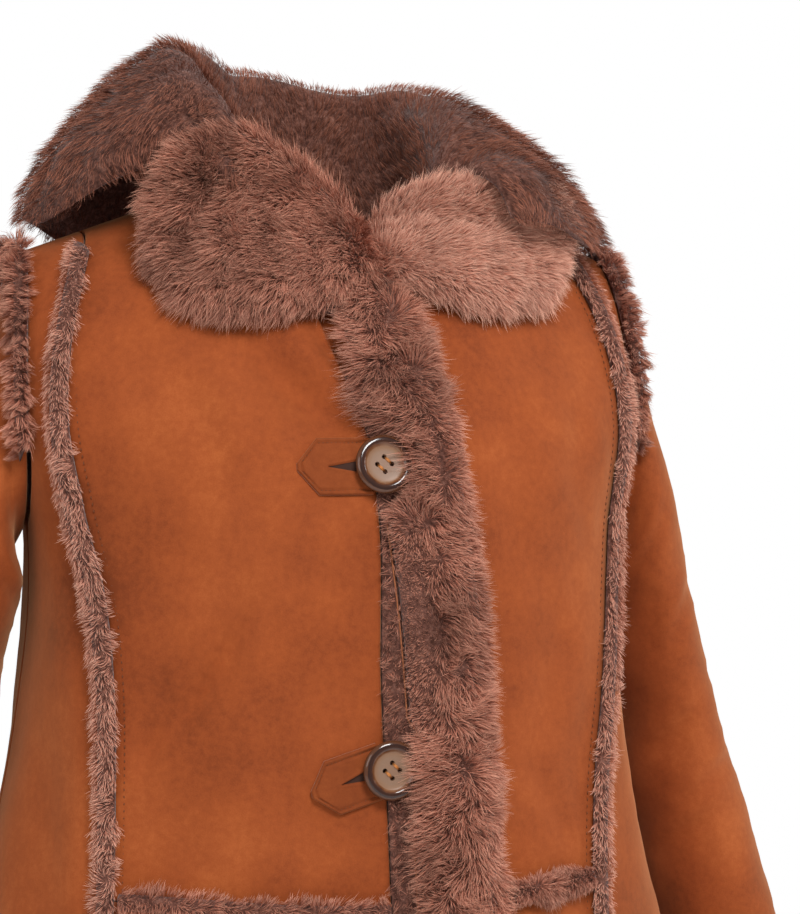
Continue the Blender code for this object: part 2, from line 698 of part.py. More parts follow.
def make_tab(number, drop, tilt):
    """The pointed patch of suede that a buttonhole is cut in, tilted about the button's side."""
    tilt = math.radians(tilt)
    share = np.linspace(0, 1, TAB_COLUMNS)[None, :]
    across = np.linspace(-1, 1, TAB_ROWS)[:, None]
    along = share * (TAB_LONG - TAB_EDGE_CLEAR)
    half = TAB_WIDE / 2 * np.clip(mix(TAB_TIP_SHARE, 1, along / TAB_POINT), 0, 1)
    u = along - TAB_LONG + float(edge_x(drop)) - TAB_EDGE_CLEAR
    v = across * half
    x = u * math.cos(tilt) + v * math.sin(tilt)
    at = drop - u * math.sin(tilt) + v * math.cos(tilt)
    outer = place(x, at, TAB_LIFT + TAB_THICK)
    wall(f"buttonhole_tab_{number}", outer, place(x, at, TAB_LIFT), SUEDE)


def make_hole(button, number, at):
    """A hole through a button, cut by a rod that isn't part of the coat."""
    turn = math.tau * at / HOLE_COUNT
    bm = bmesh.new()
    bmesh.ops.create_cone(
        bm,
        cap_ends=True,
        segments=HOLE_SIDES,
        radius1=BUTTON_HOLE / 2,
        radius2=BUTTON_HOLE / 2,
        depth=3 * BUTTON_THICK,
    )
    hole = finish(f"button_{number}_hole_{at + 1}", bm, HORN)
    COAT.objects.unlink(hole)
    CUTTERS.objects.link(hole)
    hole.hide_render = True
    hole.display_type = "WIRE"
    hole.parent = button
    hole.location.x = BUTTON_HOLE_RING * math.cos(turn)
    hole.location.y = BUTTON_HOLE_RING * math.sin(turn)
    hole.location.z = BUTTON_THICK / 2
    cut = button.modifiers.new(f"Hole {at + 1}", "BOOLEAN")
    cut.object = hole


def make_button(number, drop):
    """A turned button with a raised rim and four holes, on its patch."""
    bm = bmesh.new()
    verts = [
        bm.verts.new((BUTTON_ACROSS / 2 * out, 0, BUTTON_THICK * up)) for out, up in BUTTON_PROFILE
    ]
    for first, second in zip(verts, verts[1:]):
        bm.edges.new((first, second))
    button = finish(f"button_{number}", bm, HORN)
    screw = button.modifiers.new("Turn", "SCREW")
    screw.steps = BUTTON_SIDES
    screw.render_steps = BUTTON_SIDES
    screw.use_merge_vertices = True
    screw.merge_threshold = 1e-5
    for at in range(HOLE_COUNT):
        make_hole(button, number, at)
    down = down_of(BUTTON_X, drop)
    away = Vector(outward(across_of(BUTTON_X, down), down, -1))
    button.location = Vector(place(BUTTON_X, drop, BUTTON_LIFT))
    button.rotation_euler = away.to_track_quat("Z", "Y").to_euler()


for old in list(bpy.data.objects):
    bpy.data.objects.remove(old, do_unlink=True)
COAT = bpy.data.collections.new("shearling_coat")
CUTTERS = bpy.data.collections.new("cutters")
for collection in (COAT, CUTTERS):
    bpy.context.scene.collection.children.link(collection)
make_panels()
make_sleeves()
make_front_band()
make_edge_wool()
make_seam_bands()
make_armhole_bands()
make_collar()
make_lapels()
for number, (drop, tilt) in enumerate(zip(BUTTON_DROPS, TAB_TILTS), 1):
    make_tab(number, drop, tilt)
    make_button(number, drop)
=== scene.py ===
"""The looks of the shearling coat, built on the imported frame.

Metres, +Z up, the wearer's front towards -Y, the wearer's left towards +X. The coat's panels are
thin shells on the same body surface as the CAD solids, with creases, rolled edges and stitches.
Each wool trim is a base shell with strands of wool on it.
"""
import math
from collections import namedtuple
import bmesh
import bpy
import numpy as np
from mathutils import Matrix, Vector
from mathutils.kdtree import KDTree


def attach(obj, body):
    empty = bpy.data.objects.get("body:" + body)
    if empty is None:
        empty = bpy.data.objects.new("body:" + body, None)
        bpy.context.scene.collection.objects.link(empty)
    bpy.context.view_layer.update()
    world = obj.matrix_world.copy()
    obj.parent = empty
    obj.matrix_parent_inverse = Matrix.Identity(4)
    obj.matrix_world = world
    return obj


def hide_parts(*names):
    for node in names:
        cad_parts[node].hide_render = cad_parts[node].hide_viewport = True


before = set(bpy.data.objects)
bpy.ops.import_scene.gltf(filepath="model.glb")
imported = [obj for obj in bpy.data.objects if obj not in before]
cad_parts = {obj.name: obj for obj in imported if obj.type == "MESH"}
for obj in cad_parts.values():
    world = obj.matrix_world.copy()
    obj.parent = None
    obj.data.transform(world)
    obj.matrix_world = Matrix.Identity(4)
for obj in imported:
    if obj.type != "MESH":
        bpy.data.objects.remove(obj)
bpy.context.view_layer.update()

# The coat's sizes, the same as the CAD's.
COAT_LENGTH = 0.960
ARMPIT_DROP = 0.215
SHOULDER_SLOPE = math.radians(20)
SHOULDER_BEND = 0.020
NECK_WIDE, NECK_FRONT, NECK_BACK = 0.076, 0.096, 0.040
RIDGE_Y = 0.008
RING_POWER = 2.5
HIDE = 0.006
GAP = 0.0006
SEAM_X = 0.0010
SHOULDER_SEAM = 0.004
TRIM_LIFT = 0.0013
SIDE_SEAM = 0.99995  # the across value of the side seams, just off 1
SIDES = (("right", -1), ("left", 1))
BODY = (
    # drop, half width, front depth, back depth
    (0.000, 0.216, 0.112, 0.100),
    (0.100, 0.213, 0.121, 0.106),
    (0.150, 0.207, 0.130, 0.113),
    (0.215, 0.190, 0.138, 0.118),
    (0.250, 0.189, 0.142, 0.119),
    (0.335, 0.198, 0.146, 0.119),
    (0.440, 0.218, 0.149, 0.124),
    (0.600, 0.245, 0.162, 0.148),
    (0.800, 0.280, 0.182, 0.178),
    (0.960, 0.305, 0.200, 0.200),
)
ARMHOLE = (
    # share of the way down, x
    (0.0, 0.192),
    (0.3, 0.196),
    (0.6, 0.197),
    (0.8, 0.194),
    (1.0, 0.190),
)
PRINCESS = (
    # drop, x on the wearer's left, x on the right
    (0.030, 0.154, 0.154),
    (0.060, 0.166, 0.165),
    (0.100, 0.178, 0.176),
    (0.150, 0.183, 0.180),
    (0.200, 0.177, 0.172),
    (0.250, 0.171, 0.162),
    (0.310, 0.162, 0.158),
    (0.370, 0.151, 0.159),
    (0.440, 0.147, 0.162),
    (0.600, 0.160, 0.174),
    (0.960, 0.200, 0.206),
)
WAIST_DROP, WAIST_DIP, WAIST_DIP_REACH = 0.432, 0.010, 0.16
FRONT_BAND = (
    # drop, x
    (0.060, 0.015),
    (0.100, 0.0175),
    (0.150, 0.027),
    (0.200, 0.033),
    (0.270, 0.040),
    (0.400, 0.048),
    (0.960, 0.048),
)
FRONT_BAND_SIZE = (0.056, 0.020)
FRONT_BAND_TOP = 0.046
FRONT_EDGE = (
    # drop, x
    (0.050, -0.034),
    (0.100, -0.020),
    (0.150, -0.004),
    (0.200, 0.001),
    (0.300, 0.000),
    (0.400, 0.004),
    (0.960, 0.004),
)
UNDERLAP_X, UNDERLAP_DEEP, UNDERLAP_RUN = -0.036, 0.0085, 0.030
SEAM_BAND_TOP = 0.043
SEAM_BAND_SIZES = {"princess": (0.0090, 0.0058), "waist": (0.0100, 0.0058)}
WAIST_BAND_GAP = 0.0078
ARMHOLE_BAND_FEET, ARMHOLE_BAND_HIGH = (0.002, 0.001), 0.006
BUTTON_DROPS = (0.175, 0.356, 0.537, 0.718)
BUTTON_ACROSS, BUTTON_THICK = 0.036, 0.0055
BUTTON_HOLE, BUTTON_HOLE_RING = 0.0030, 0.0046
TAB_LONG, TAB_WIDE, TAB_POINT, TAB_THICK = 0.047, 0.034, 0.013, 0.0016
TAB_TILTS = (0.0, 17.0, 8.0, 4.0)
BUTTON_X, BUTTON_LIFT = 0.004, 0.004
COLLAR = (
    # angle, roll out, roll up, edge out, edge up
    (-48.0, 0.100, 0.010, 0.146, -0.022),
    (-38.0, 0.095, 0.030, 0.164, -0.026),
    (-26.0, 0.088, 0.046, 0.176, -0.037),
    (-10.0, 0.080, 0.056, 0.187, -0.035),
    (10.0, 0.076, 0.060, 0.189, -0.034),
    (40.0, 0.072, 0.064, 0.150, -0.056),
    (90.0, 0.066, 0.070, 0.110, -0.075),
    (135.0, 0.074, 0.078, 0.155, -0.052),
    (165.0, 0.088, 0.084, 0.186, -0.020),
    (185.0, 0.098, 0.084, 0.180, -0.024),
    (204.0, 0.104, 0.070, 0.152, 0.002),
    (218.0, 0.104, 0.046, 0.124, 0.014),
    (232.0, 0.100, 0.016, 0.112, -0.008),
)
COLLAR_THICK, COLLAR_SINK, ROLL, LEAF_BULGE = 0.015, 0.004, 0.012, 0.010
LAPELS = {
    # side: middle x, middle drop, half width, half height, turn in degrees, corner power
    "right": (-0.072, 0.032, 0.054, 0.058, 4.0, 2.3),
    "left": (0.091, 0.043, 0.055, 0.040, -4.0, 2.3),
}
LAPEL_THICK, LAPEL_LIFT, LAPEL_STAND, LAPEL_LEAN = 0.026, 0.004, 0.035, 0.25
# How each lapel's inner end runs on towards the front band.
LAPEL_TAILS = {
    # side: further x, further drop, share of the height lost
    "right": (0.034, 0.016, 0.42),
    "left": (-0.022, -0.004, 0.12),
}
SLEEVE = (
    # along, x, y, z, lean in degrees, half width, half depth
    (0.00, 0.194, -0.001, -0.130, 3.0, 0.082, 0.062),
    (0.10, 0.203, 0.006, -0.153, 7.0, 0.069, 0.062),
    (0.20, 0.214, 0.013, -0.197, 28.0, 0.044, 0.063),
    (0.32, 0.226, 0.018, -0.256, 70.0, 0.032, 0.064),
    (0.45, 0.241, 0.022, -0.325, 76.0, 0.034, 0.064),
    (0.65, 0.268, 0.022, -0.430, 77.0, 0.040, 0.063),
    (0.83, 0.290, 0.010, -0.525, 78.0, 0.043, 0.061),
    (1.00, 0.306, -0.008, -0.605, 80.0, 0.045, 0.062),
)
SLEEVE_LONG, SLEEVE_GIRTH = 0.50, 0.32
ARMHOLE_HOLD, SLEEVE_GAP = 0.28, 0.0015

# Creases, each a soft trough with a low ridge beside it.
FRONT_FOLDS = (
    # from x, from drop, to x, to drop, width, depth, bow
    (-0.076, 0.252, -0.142, 0.348, 0.0056, 0.0042, 0.006),
    (-0.094, 0.262, -0.150, 0.332, 0.0036, 0.0020, 0.003),
    (-0.072, 0.238, -0.146, 0.356, 0.0170, 0.0052, 0.006),
    (-0.112, 0.300, -0.146, 0.366, 0.0046, 0.0026, -0.004),
    (-0.100, 0.292, -0.121, 0.330, 0.0028, 0.0014, 0.002),
    (-0.118, 0.296, -0.134, 0.312, 0.0024, 0.0012, 0.000),
    (-0.124, 0.306, -0.140, 0.322, 0.0024, 0.0011, 0.001),
    (-0.070, 0.094, -0.014, 0.152, 0.0130, 0.0085, -0.006),
    (-0.038, 0.300, -0.027, 0.315, 0.0030, 0.0009, 0.001),
    (-0.120, 0.110, -0.098, 0.205, 0.0140, 0.0022, 0.008),
    (-0.066, 0.330, -0.020, 0.405, 0.0150, 0.0018, -0.010),
    (0.072, 0.110, 0.088, 0.250, 0.0180, 0.0026, 0.008),
    (0.120, 0.250, 0.096, 0.350, 0.0130, 0.0018, 0.006),
    (0.150, 0.120, 0.140, 0.205, 0.0110, 0.0016, -0.004),
    (0.088, 0.350, 0.126, 0.405, 0.0060, 0.0014, 0.003),
    (0.100, 0.372, 0.134, 0.414, 0.0040, 0.0010, -0.002),
    (-0.090, 0.455, -0.112, 0.760, 0.0200, 0.0050, 0.010),
    (-0.045, 0.470, -0.052, 0.920, 0.0170, 0.0034, -0.008),
    (-0.140, 0.520, -0.168, 0.940, 0.0180, 0.0044, 0.006),
    (0.100, 0.450, 0.118, 0.800, 0.0190, 0.0048, -0.008),
    (0.132, 0.600, 0.160, 0.940, 0.0150, 0.0036, 0.004),
    (0.200, 0.280, 0.214, 0.480, 0.0140, 0.0060, 0.002),
    (0.200, 0.520, 0.245, 0.900, 0.0170, 0.0040, 0.004),
    (-0.190, 0.300, -0.200, 0.470, 0.0120, 0.0024, 0.002),
    (-0.205, 0.540, -0.250, 0.880, 0.0170, 0.0040, -0.004),
)
BACK_FOLDS = (
    # from x, from drop, to x, to drop, width, depth, bow
    (-0.150, 0.140, -0.060, 0.215, 0.0120, 0.0030, 0.010),
    (0.152, 0.135, 0.070, 0.225, 0.0130, 0.0030, -0.012),
    (-0.120, 0.320, 0.030, 0.372, 0.0080, 0.0026, 0.008),
    (0.130, 0.330, 0.000, 0.396, 0.0070, 0.0022, -0.006),
    (-0.165, 0.380, -0.060, 0.428, 0.0060, 0.0018, 0.004),
    (0.160, 0.360, 0.080, 0.420, 0.0070, 0.0022, -0.003),
    (-0.150, 0.470, -0.190, 0.900, 0.0200, 0.0060, 0.012),
    (-0.080, 0.430, -0.094, 0.940, 0.0220, 0.0054, -0.008),
    (-0.020, 0.500, -0.012, 0.930, 0.0180, 0.0040, 0.006),
    (0.048, 0.440, 0.060, 0.880, 0.0210, 0.0056, 0.007),
    (0.120, 0.480, 0.150, 0.950, 0.0200, 0.0050, -0.010),
    (0.190, 0.440, 0.226, 0.820, 0.0170, 0.0044, 0.006),
)
SLEEVE_FOLDS = (
    # from turn in degrees, from along, to turn, to along, width, depth, bow
    (60.0, 0.235, 150.0, 0.330, 0.0060, 0.0022, 0.006),
    (20.0, 0.330, 110.0, 0.420, 0.0070, 0.0020, 0.008),
    (75.0, 0.470, 150.0, 0.530, 0.0060, 0.0022, -0.005),
    (30.0, 0.560, 120.0, 0.600, 0.0050, 0.0020, 0.005),
    (70.0, 0.610, 160.0, 0.665, 0.0050, 0.0018, 0.004),
    (200.0, 0.300, 290.0, 0.400, 0.0080, 0.0024, 0.006),
    (210.0, 0.480, 300.0, 0.545, 0.0070, 0.0024, -0.006),
    (190.0, 0.620, 280.0, 0.670, 0.0070, 0.0020, 0.004),
    (90.0, 0.720, 115.0, 0.930, 0.0110, 0.0022, 0.004),
    (240.0, 0.700, 262.0, 0.950, 0.0120, 0.0024, 0.004),
)
ROLLED = 0.0022  # the radius of a cut edge's roll

# The camera and the stage.
CAMERA_TURN, CAMERA_RISE, CAMERA_AWAY = math.radians(-17), math.radians(2), 1.7
CAMERA_ASIDE, CAMERA_DROP, FRAME_WIDE = 0.0533, 0.1736, 0.52
FLOOR_DROP, FLOOR_RADIUS = 1.08, 2.8
LIGHTS = (
    # name, place, power, size
    ("key", (0.10, -2.3, 1.8), 75.0, 1.0),
    ("fill", (-2.2, -1.7, 0.7), 17.0, 1.6),
    ("side", (2.3, -0.7, 0.5), 19.0, 1.0),
    ("back", (0.9, 2.4, 1.4), 26.0, 1.8),
)
LIT_AT, AMBIENT = (0, 0, -0.3), 0.30


# Curves through tables

def through(table, column):
    """A smooth curve through one column of a table, against the table's first column."""
    at = np.array([row[0] for row in table])
    value = np.array([row[column] for row in table])
    slope = np.gradient(value, at)

    def curve(where):
        where = np.clip(where, at[0], at[-1])
        i = np.clip(np.searchsorted(at, where) - 1, 0, len(at) - 2)
        step = at[i + 1] - at[i]
        u = (where - at[i]) / step
        levels = (1 + 2 * u) * (1 - u) ** 2 * value[i] + u * u * (3 - 2 * u) * value[i + 1]
        bends = u * (1 - u) ** 2 * slope[i] + u * u * (u - 1) * slope[i + 1]
        return levels + step * bends

    return curve


half_width = through(BODY, 1)
depth = {-1: through(BODY, 2), 1: through(BODY, 3)}
armhole_x = through(ARMHOLE, 1)
princess_x = {1: through(PRINCESS, 1), -1: through(PRINCESS, 2)}
band_x = through(FRONT_BAND, 1)
edge_x = through(FRONT_EDGE, 1)


def eased(share):
    """From 0 to 1 with level ends."""
    share = np.clip(share, 0, 1)
    return share * share * (3 - 2 * share)


def mix(a, b, share):
    return a + (b - a) * share


def unit(vectors):
    return vectors / np.maximum(np.linalg.norm(vectors, axis=-1, keepdims=True), 1e-12)


def wander(points, size, seed):
    """A smooth random value at each point, from about -1 to 1, that changes over this size."""
    rng = np.random.default_rng(seed)
    total = 0
    for _ in range(7):
        way = unit(rng.normal(size=3)) * rng.uniform(0.6, 1.5) * 2 * math.pi / size
        total = total + np.sin(points @ way + rng.uniform(0, 2 * math.pi))
    return total / 2.8


# The body surface, as in the CAD

def ridge(x):
    """The height of the shoulder line at x."""
    past = np.abs(x) - NECK_WIDE
    return -math.tan(SHOULDER_SLOPE) * (past + np.sqrt(past**2 + SHOULDER_BEND**2)) / 2


def ring_depth(x, drop, face):
    """How far the ring at this drop reaches in front (face -1) or behind (face 1) at x."""
    share = np.clip(np.abs(x) / half_width(drop), 0, 1)
    return depth[face](drop) * (1 - share**RING_POWER) ** (1 / RING_POWER)


def level(down):
    """The drop of a down value below the armpits."""
    return ARMPIT_DROP + np.clip(down - 1, 0, 1) * (COAT_LENGTH - ARMPIT_DROP)


def body(across, down, face):
    """A point of the coat's outer surface. Across runs from -1 to 1 between the sides. Down is 0
    at the shoulder line, 1 at the armpits and 2 at the hem."""
    across, down = np.broadcast_arrays(across, down)
    turn = np.clip(across, -1, 1) * math.pi / 2
    share = np.sign(turn) * np.abs(np.sin(turn)) ** (2 / RING_POWER)
    rise = np.clip(down, 0, 1) * math.pi / 2
    x_upper = armhole_x(1 - np.cos(rise)) * share
    top = ridge(x_upper)
    z_upper = top - (1 - np.cos(rise)) * (ARMPIT_DROP + top)
    reach = face * ring_depth(x_upper, -z_upper, face)
    y_upper = mix(RIDGE_Y, reach, np.sin(rise))
    x_lower = half_width(level(down)) * share
    y_lower = face * ring_depth(x_lower, level(down), face)
    upper = np.stack([x_upper, y_upper, z_upper], axis=-1)
    lower = np.stack([x_lower, y_lower, -level(down)], axis=-1)
    return np.where((down > 1)[..., None], lower, upper)


def outward(across, down, face):
    """The unit normal of the body surface, read just inside its edges."""
    step = 1e-3
    across, down = np.broadcast_arrays(np.clip(across, -0.99, 0.99), np.clip(down, 0.01, 1.99))
    sideways = body(across + step, down, face) - body(across - step, down, face)
    downward = body(across, down + step, face) - body(across, down - step, face)
    return unit(np.cross(sideways, downward) * face)


def down_of(x, drop):
    """The down value of a place given by its x and its drop."""
    top = ridge(x)
    share = np.clip((drop + top) / (ARMPIT_DROP + top), 0, 1)
    upper = np.arccos(1 - share) / (math.pi / 2)
    lower = 1 + (drop - ARMPIT_DROP) / (COAT_LENGTH - ARMPIT_DROP)
    return np.where(drop > ARMPIT_DROP, lower, upper)


def drop_of(x, down):
    """The drop of a place given by its x and its down value."""
    top = ridge(x)
    upper = (1 - np.cos(np.clip(down, 0, 1) * math.pi / 2)) * (ARMPIT_DROP + top) - top
    return np.where(down > 1, level(down), upper)


def across_of(x, down):
    """The across value of a place given by its x and its down value."""
    rise = np.clip(down, 0, 1) * math.pi / 2
    widest = np.where(down > 1, half_width(level(down)), armhole_x(1 - np.cos(rise)))
    share = np.clip(np.abs(x) / widest, 0, 1)
    return np.sign(x) * np.arcsin(share ** (RING_POWER / 2)) / (math.pi / 2)


def place(x, drop, lift=0.0, face=-1):
    """The point at x and drop on the body surface, moved out by lift."""
    x, drop = np.broadcast_arrays(x, drop)
    down = down_of(x, drop)
    across = across_of(x, down)
    return body(across, down, face) + outward(across, down, face) * np.asarray(lift)[..., None]


def line_across(line, down):
    """Where a line, given as x against drop, crosses a down value."""
    x = np.full(np.shape(down), 0.1)
    for _ in range(8):
        x = line(drop_of(x, down))
    return across_of(x, down)


def neckline(x, face):
    """The down value of the neck's edge at x."""
    reach = {-1: NECK_FRONT, 1: NECK_BACK}[face] * np.sqrt(np.clip(1 - (x / NECK_WIDE) ** 2, 0, 1))
    share = reach / (depth[face](0.03) - face * RIDGE_Y)
    return np.maximum(np.arcsin(share) / (math.pi / 2), SHOULDER_SEAM)


# Meshes

def build(name, points, groups, looks, uv=None):
    """A smooth mesh on the coat's body. Groups are (faces, material number), and uv has a pair for
    each corner, in the map named OFBake."""
    mesh = bpy.data.meshes.new(name)
    corners = np.concatenate([faces.ravel() for faces, _ in groups])
    sides = np.concatenate([np.full(len(faces), faces.shape[1]) for faces, _ in groups])
    worn = np.concatenate([np.full(len(faces), look) for faces, look in groups])
    mesh.vertices.add(len(points))
    mesh.vertices.foreach_set("co", np.asarray(points, dtype=np.float32).ravel())
    mesh.loops.add(len(corners))
    mesh.loops.foreach_set("vertex_index", corners.astype(np.int32))
    mesh.polygons.add(len(sides))
    starts = np.concatenate([[0], np.cumsum(sides)[:-1]])
    mesh.polygons.foreach_set("loop_start", starts.astype(np.int32))
    mesh.polygons.foreach_set("material_index", worn.astype(np.int32))
    mesh.polygons.foreach_set("use_smooth", np.ones(len(sides), dtype=bool))
    if uv is not None:
        mesh.uv_layers.new(name="OFBake").data.foreach_set("uv", uv.astype(np.float32).ravel())
    mesh.update(calc_edges=True)
    for look in looks:
        mesh.materials.append(look)
    obj = bpy.data.objects.new(name, mesh)
    bpy.context.scene.collection.objects.link(obj)
    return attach(obj, "root")


def numbers(rows, columns, wrap):
    """The vertex numbers of a grid, with its first column again at the end if it wraps round."""
    at = np.arange(rows * columns).reshape(rows, columns)
    return np.concatenate([at, at[:, :1]], axis=1) if wrap else at


def quads(at):
    """The faces of a grid of vertex numbers."""
    return np.stack([at[:-1, :-1], at[:-1, 1:], at[1:, 1:], at[1:, :-1]], axis=-1).reshape(-1, 4)


def shell(name, outer, inner, looks, wrap=False):
    """A closed wall between two grids: looks are those of its outside, inside and cut edges. A
    grid that wraps round repeats its first column at the end."""
    if wrap:
        outer, inner = outer[:, :-1], inner[:, :-1]
    rows, columns = outer.shape[:2]
    at = numbers(rows, columns, wrap)
    behind = at + rows * columns
    if wrap:
        rims = [(at[0], behind[0]), (at[-1][::-1], behind[-1][::-1])]
    else:
        loop = np.concatenate([at[0, :-1], at[:-1, -1], at[-1, :0:-1], at[::-1, 0]])
        rims = [(loop, loop + rows * columns)]
    groups = [(quads(at), 0), (quads(behind)[:, ::-1], 1)]
    groups += [(quads(np.stack([below, above])), 2) for above, below in rims]
    points = np.concatenate([outer.reshape(-1, 3), inner.reshape(-1, 3)])
    return turned_out(build(name, points, groups, looks))


def turned_out(obj):
    """The same piece with its faces turned outwards."""
    bm = bmesh.new()
    bm.from_mesh(obj.data)
    bmesh.ops.recalc_face_normals(bm, faces=bm.faces)
    bm.to_mesh(obj.data)
    bm.free()
    return obj


def grid_normals(points, away, wrap=False):
    """The unit normals of a grid of points, on the side that away points to."""
    if wrap:
        ring = np.concatenate([points[:, -2:-1], points, points[:, 1:2]], axis=1)
        sideways = ring[:, 2:] - ring[:, :-2]
    else:
        sideways = np.gradient(points, axis=1)
    normal = unit(np.cross(sideways, np.gradient(points, axis=0)))
    return normal * np.sign(np.sum(normal * away))


def cell_areas(points):
    """The area of each cell of a grid of points."""
    sideways, downward = points[:-1, 1:] - points[:-1, :-1], points[1:, :-1] - points[:-1, :-1]
    return np.linalg.norm(np.cross(sideways, downward), axis=-1)


# Wool

# A trim's wool. Length, lean and tint are each a middle value, how much it changes from place to
# place (the length by a share of itself) and over what distance. Clump is how far the strands'
# tips draw together, bunch how many do so, and loose how far strands stray from their lie.
Wool = namedtuple(
    "Wool", "strands look length lean tint clump bunch loose", defaults=(0.32, 26, 0.36)
)
EVEN = (0.0, 1.0)  # a value that is the same everywhere
WOOL = {
    "front_band": Wool(
        66000, "wool_lapel", (0.0132, 0.18, 0.040), (0.66, 0.20, 0.020), (0.50, 0.20, 0.045)
    ),
    "front_edge": Wool(
        11000, "wool_lapel", (0.0066, *EVEN), (0.75, 0.30, 0.008), (0.36, 0.20, 0.006),
        clump=0.7, bunch=16,
    ),
    # The princess bands' paler wool and high tint are painted light, lightening the bands as a lamp
    # from the side would.
    "princess": Wool(
        17000, "wool_painted_lit", (0.0072, 0.16, 0.030), (0.80, 0.12, 0.020), (0.86, 0.14, 0.050),
        clump=0.18, loose=0.28,
    ),
    "waist": Wool(4200, "wool_lapel", (0.0078, 0.25, 0.030), (0.6, *EVEN), (0.55, 0.20, 0.040)),
    "armhole": Wool(
        10500, "wool_lapel", (0.0094, 0.35, 0.012), (0.55, 0.30, 0.012), (0.56, 0.25, 0.030),
        clump=0.75, bunch=40,
    ),
    "cuff": Wool(2600, "wool_lapel", (0.0075, *EVEN), (0.4, *EVEN), (0.35, 0.15, 0.03), clump=0.5),
    "collar": Wool(
        54000, "wool_collar", (0.0125, 0.12, 0.030), (0.95, 0.15, 0.025), (0.48, 0.08, 0.012),
        clump=0.30, loose=0.15,
    ),
    "collar_under": Wool(
        12000, "wool_collar", (0.0090, 0.12, 0.030), (0.95, 0.15, 0.025), (0.48, 0.08, 0.012),
        clump=0.30, loose=0.15,
    ),
    "lapel_right": Wool(
        33000, "wool_lapel", (0.0150, 0.15, 0.030), (1.05, 0.15, 0.020), (0.72, 0.16, 0.035),
        clump=0.45,
    ),
    # The left lapel's paler wool and higher tint than the right lapel's are painted light,
    # lightening the lapel that faces the light.
    "lapel_left": Wool(
        33000, "wool_painted_lit", (0.0150, 0.15, 0.030), (1.05, 0.15, 0.020), (0.94, 0.16, 0.035),
        clump=0.45,
    ),
}
STRAND_WIDTH = 0.00038
STRAND_SHADES = 0.04  # how far a strand's shade changes across it


def habit(kind, at, seeds):
    """The length, lean and tint of a trim's strands at these points, with a seed for each."""
    values = (WOOL[kind].length, WOOL[kind].lean, WOOL[kind].tint)
    changes = [
        change * wander(at, over, seed) for (_, change, over), seed in zip(values, seeds)
    ]
    (long, *_), (lean, *_), (tint, *_) = values
    return long * (1 + changes[0]), lean + changes[1], tint + changes[2]


def scatter(points, away, kind, seed):
    """Random roots for a trim's strands on a grid of points, even by area: position, normal, the
    directions along the columns and the rows, and the two shares of the way across the grid."""
    rng = np.random.default_rng(seed)
    count = WOOL[kind].strands
    normal, area = grid_normals(points, away), cell_areas(points)
    i, j = np.unravel_index(
        rng.choice(area.size, count, p=(area / area.sum()).ravel()), area.shape
    )
    u, v = rng.random((2, count))

    def at(values):
        top = mix(values[i, j], values[i, j + 1], u[:, None])
        low = mix(values[i + 1, j], values[i + 1, j + 1], u[:, None])
        return mix(top, low, v[:, None])

    down, side = np.gradient(points, axis=0), np.gradient(points, axis=1)
    row, column = (i + v) / (len(points) - 1), (j + u) / (points.shape[1] - 1)
    return at(points), unit(at(normal)), unit(at(down)), unit(at(side)), row, column


def wool(name, kind, at, out, comb, length, lean, tint, seed):
    """A trim's strands from these points, each a long lozenge that starts along out and bends
    towards comb. Strands near each other draw together at their tips."""
    rng = np.random.default_rng(seed)
    count = len(at)
    *_, clump, bunch, loose = WOOL[kind]
    comb = unit(comb - out * np.sum(comb * out, axis=1, keepdims=True))
    comb = unit(comb + loose * rng.normal(size=(count, 3)))
    out = unit(out + 0.5 * loose * rng.normal(size=(count, 3)))
    length = length * rng.uniform(0.68, 1.12, count)
    start = lean * rng.uniform(0.5, 0.9, count)
    end = lean * rng.uniform(1.0, 1.35, count)
    half = (length / 2)[:, None]
    middle = at + half * (out * np.cos(start)[:, None] + comb * np.sin(start)[:, None])
    tip = middle + half * (out * np.cos(end)[:, None] + comb * np.sin(end)[:, None])
    leaders = rng.choice(count, max(count // bunch, 1), replace=False)
    tree = KDTree(len(leaders))
    for number, leader in enumerate(leaders):
        tree.insert(at[leader], number)
    tree.balance()
    near = leaders[[tree.find(point)[1] for point in at]]
    pull = (clump * rng.uniform(0.3, 1.2, count))[:, None]
    tip = mix(tip, tip[near], pull)
    middle = mix(middle, middle[near], pull * 0.4)
    side = unit(np.cross(tip - at, out + 0.55 * rng.normal(size=(count, 3))))
    wide = (STRAND_WIDTH * rng.uniform(0.7, 1.3, count))[:, None] * side / 2
    points = np.stack([at, middle - wide, middle + wide, tip], axis=1).reshape(-1, 3)
    first = np.arange(count)[:, None] * 4
    tint = tint + 0.17 * rng.normal(size=count) + 0.08 * rng.normal(size=count)[near]
    tint = np.clip(tint, 0.03, 0.97)
    low, high = tint - STRAND_SHADES / 2, tint + STRAND_SHADES / 2
    root, half_way, end_at = (np.full(count, share) for share in (0.0, 0.5, 1.0))
    lower = np.stack([tint, root, high, half_way, low, half_way], axis=1)
    upper = np.stack([low, half_way, high, half_way, tint, end_at], axis=1)
    uv = np.concatenate([lower, upper]).reshape(-1, 2)
    faces = np.concatenate([first + np.array([0, 2, 1]), first + np.array([1, 2, 3])])
    return build(name, points, [(faces, 0)], [STRANDS[WOOL[kind].look]], uv)


# Materials

def plain(name, values):
    """A material with a Principled shader and these values on its sockets."""
    made = bpy.data.materials.new(name)
    made.use_nodes = True
    shader = made.node_tree.nodes["Principled BSDF"]
    for socket, value in values.items():
        shader.inputs[socket].default_value = value
    return made


def add(made, kind, inputs, **settings):
    """A new node of a material. Its inputs are values or other nodes' outputs."""
    node = made.node_tree.nodes.new(kind)
    for name, value in settings.items():
        setattr(node, name, value)
    for socket, value in inputs.items():
        if isinstance(value, bpy.types.NodeSocket):
            made.node_tree.links.new(value, node.inputs[socket])
        else:
            node.inputs[socket].default_value = value
    return node


def feed(made, socket, value):
    made.node_tree.links.new(value, made.node_tree.nodes["Principled BSDF"].inputs[socket])


def place_of(made):
    return add(made, "ShaderNodeTexCoord", {}).outputs["Object"]


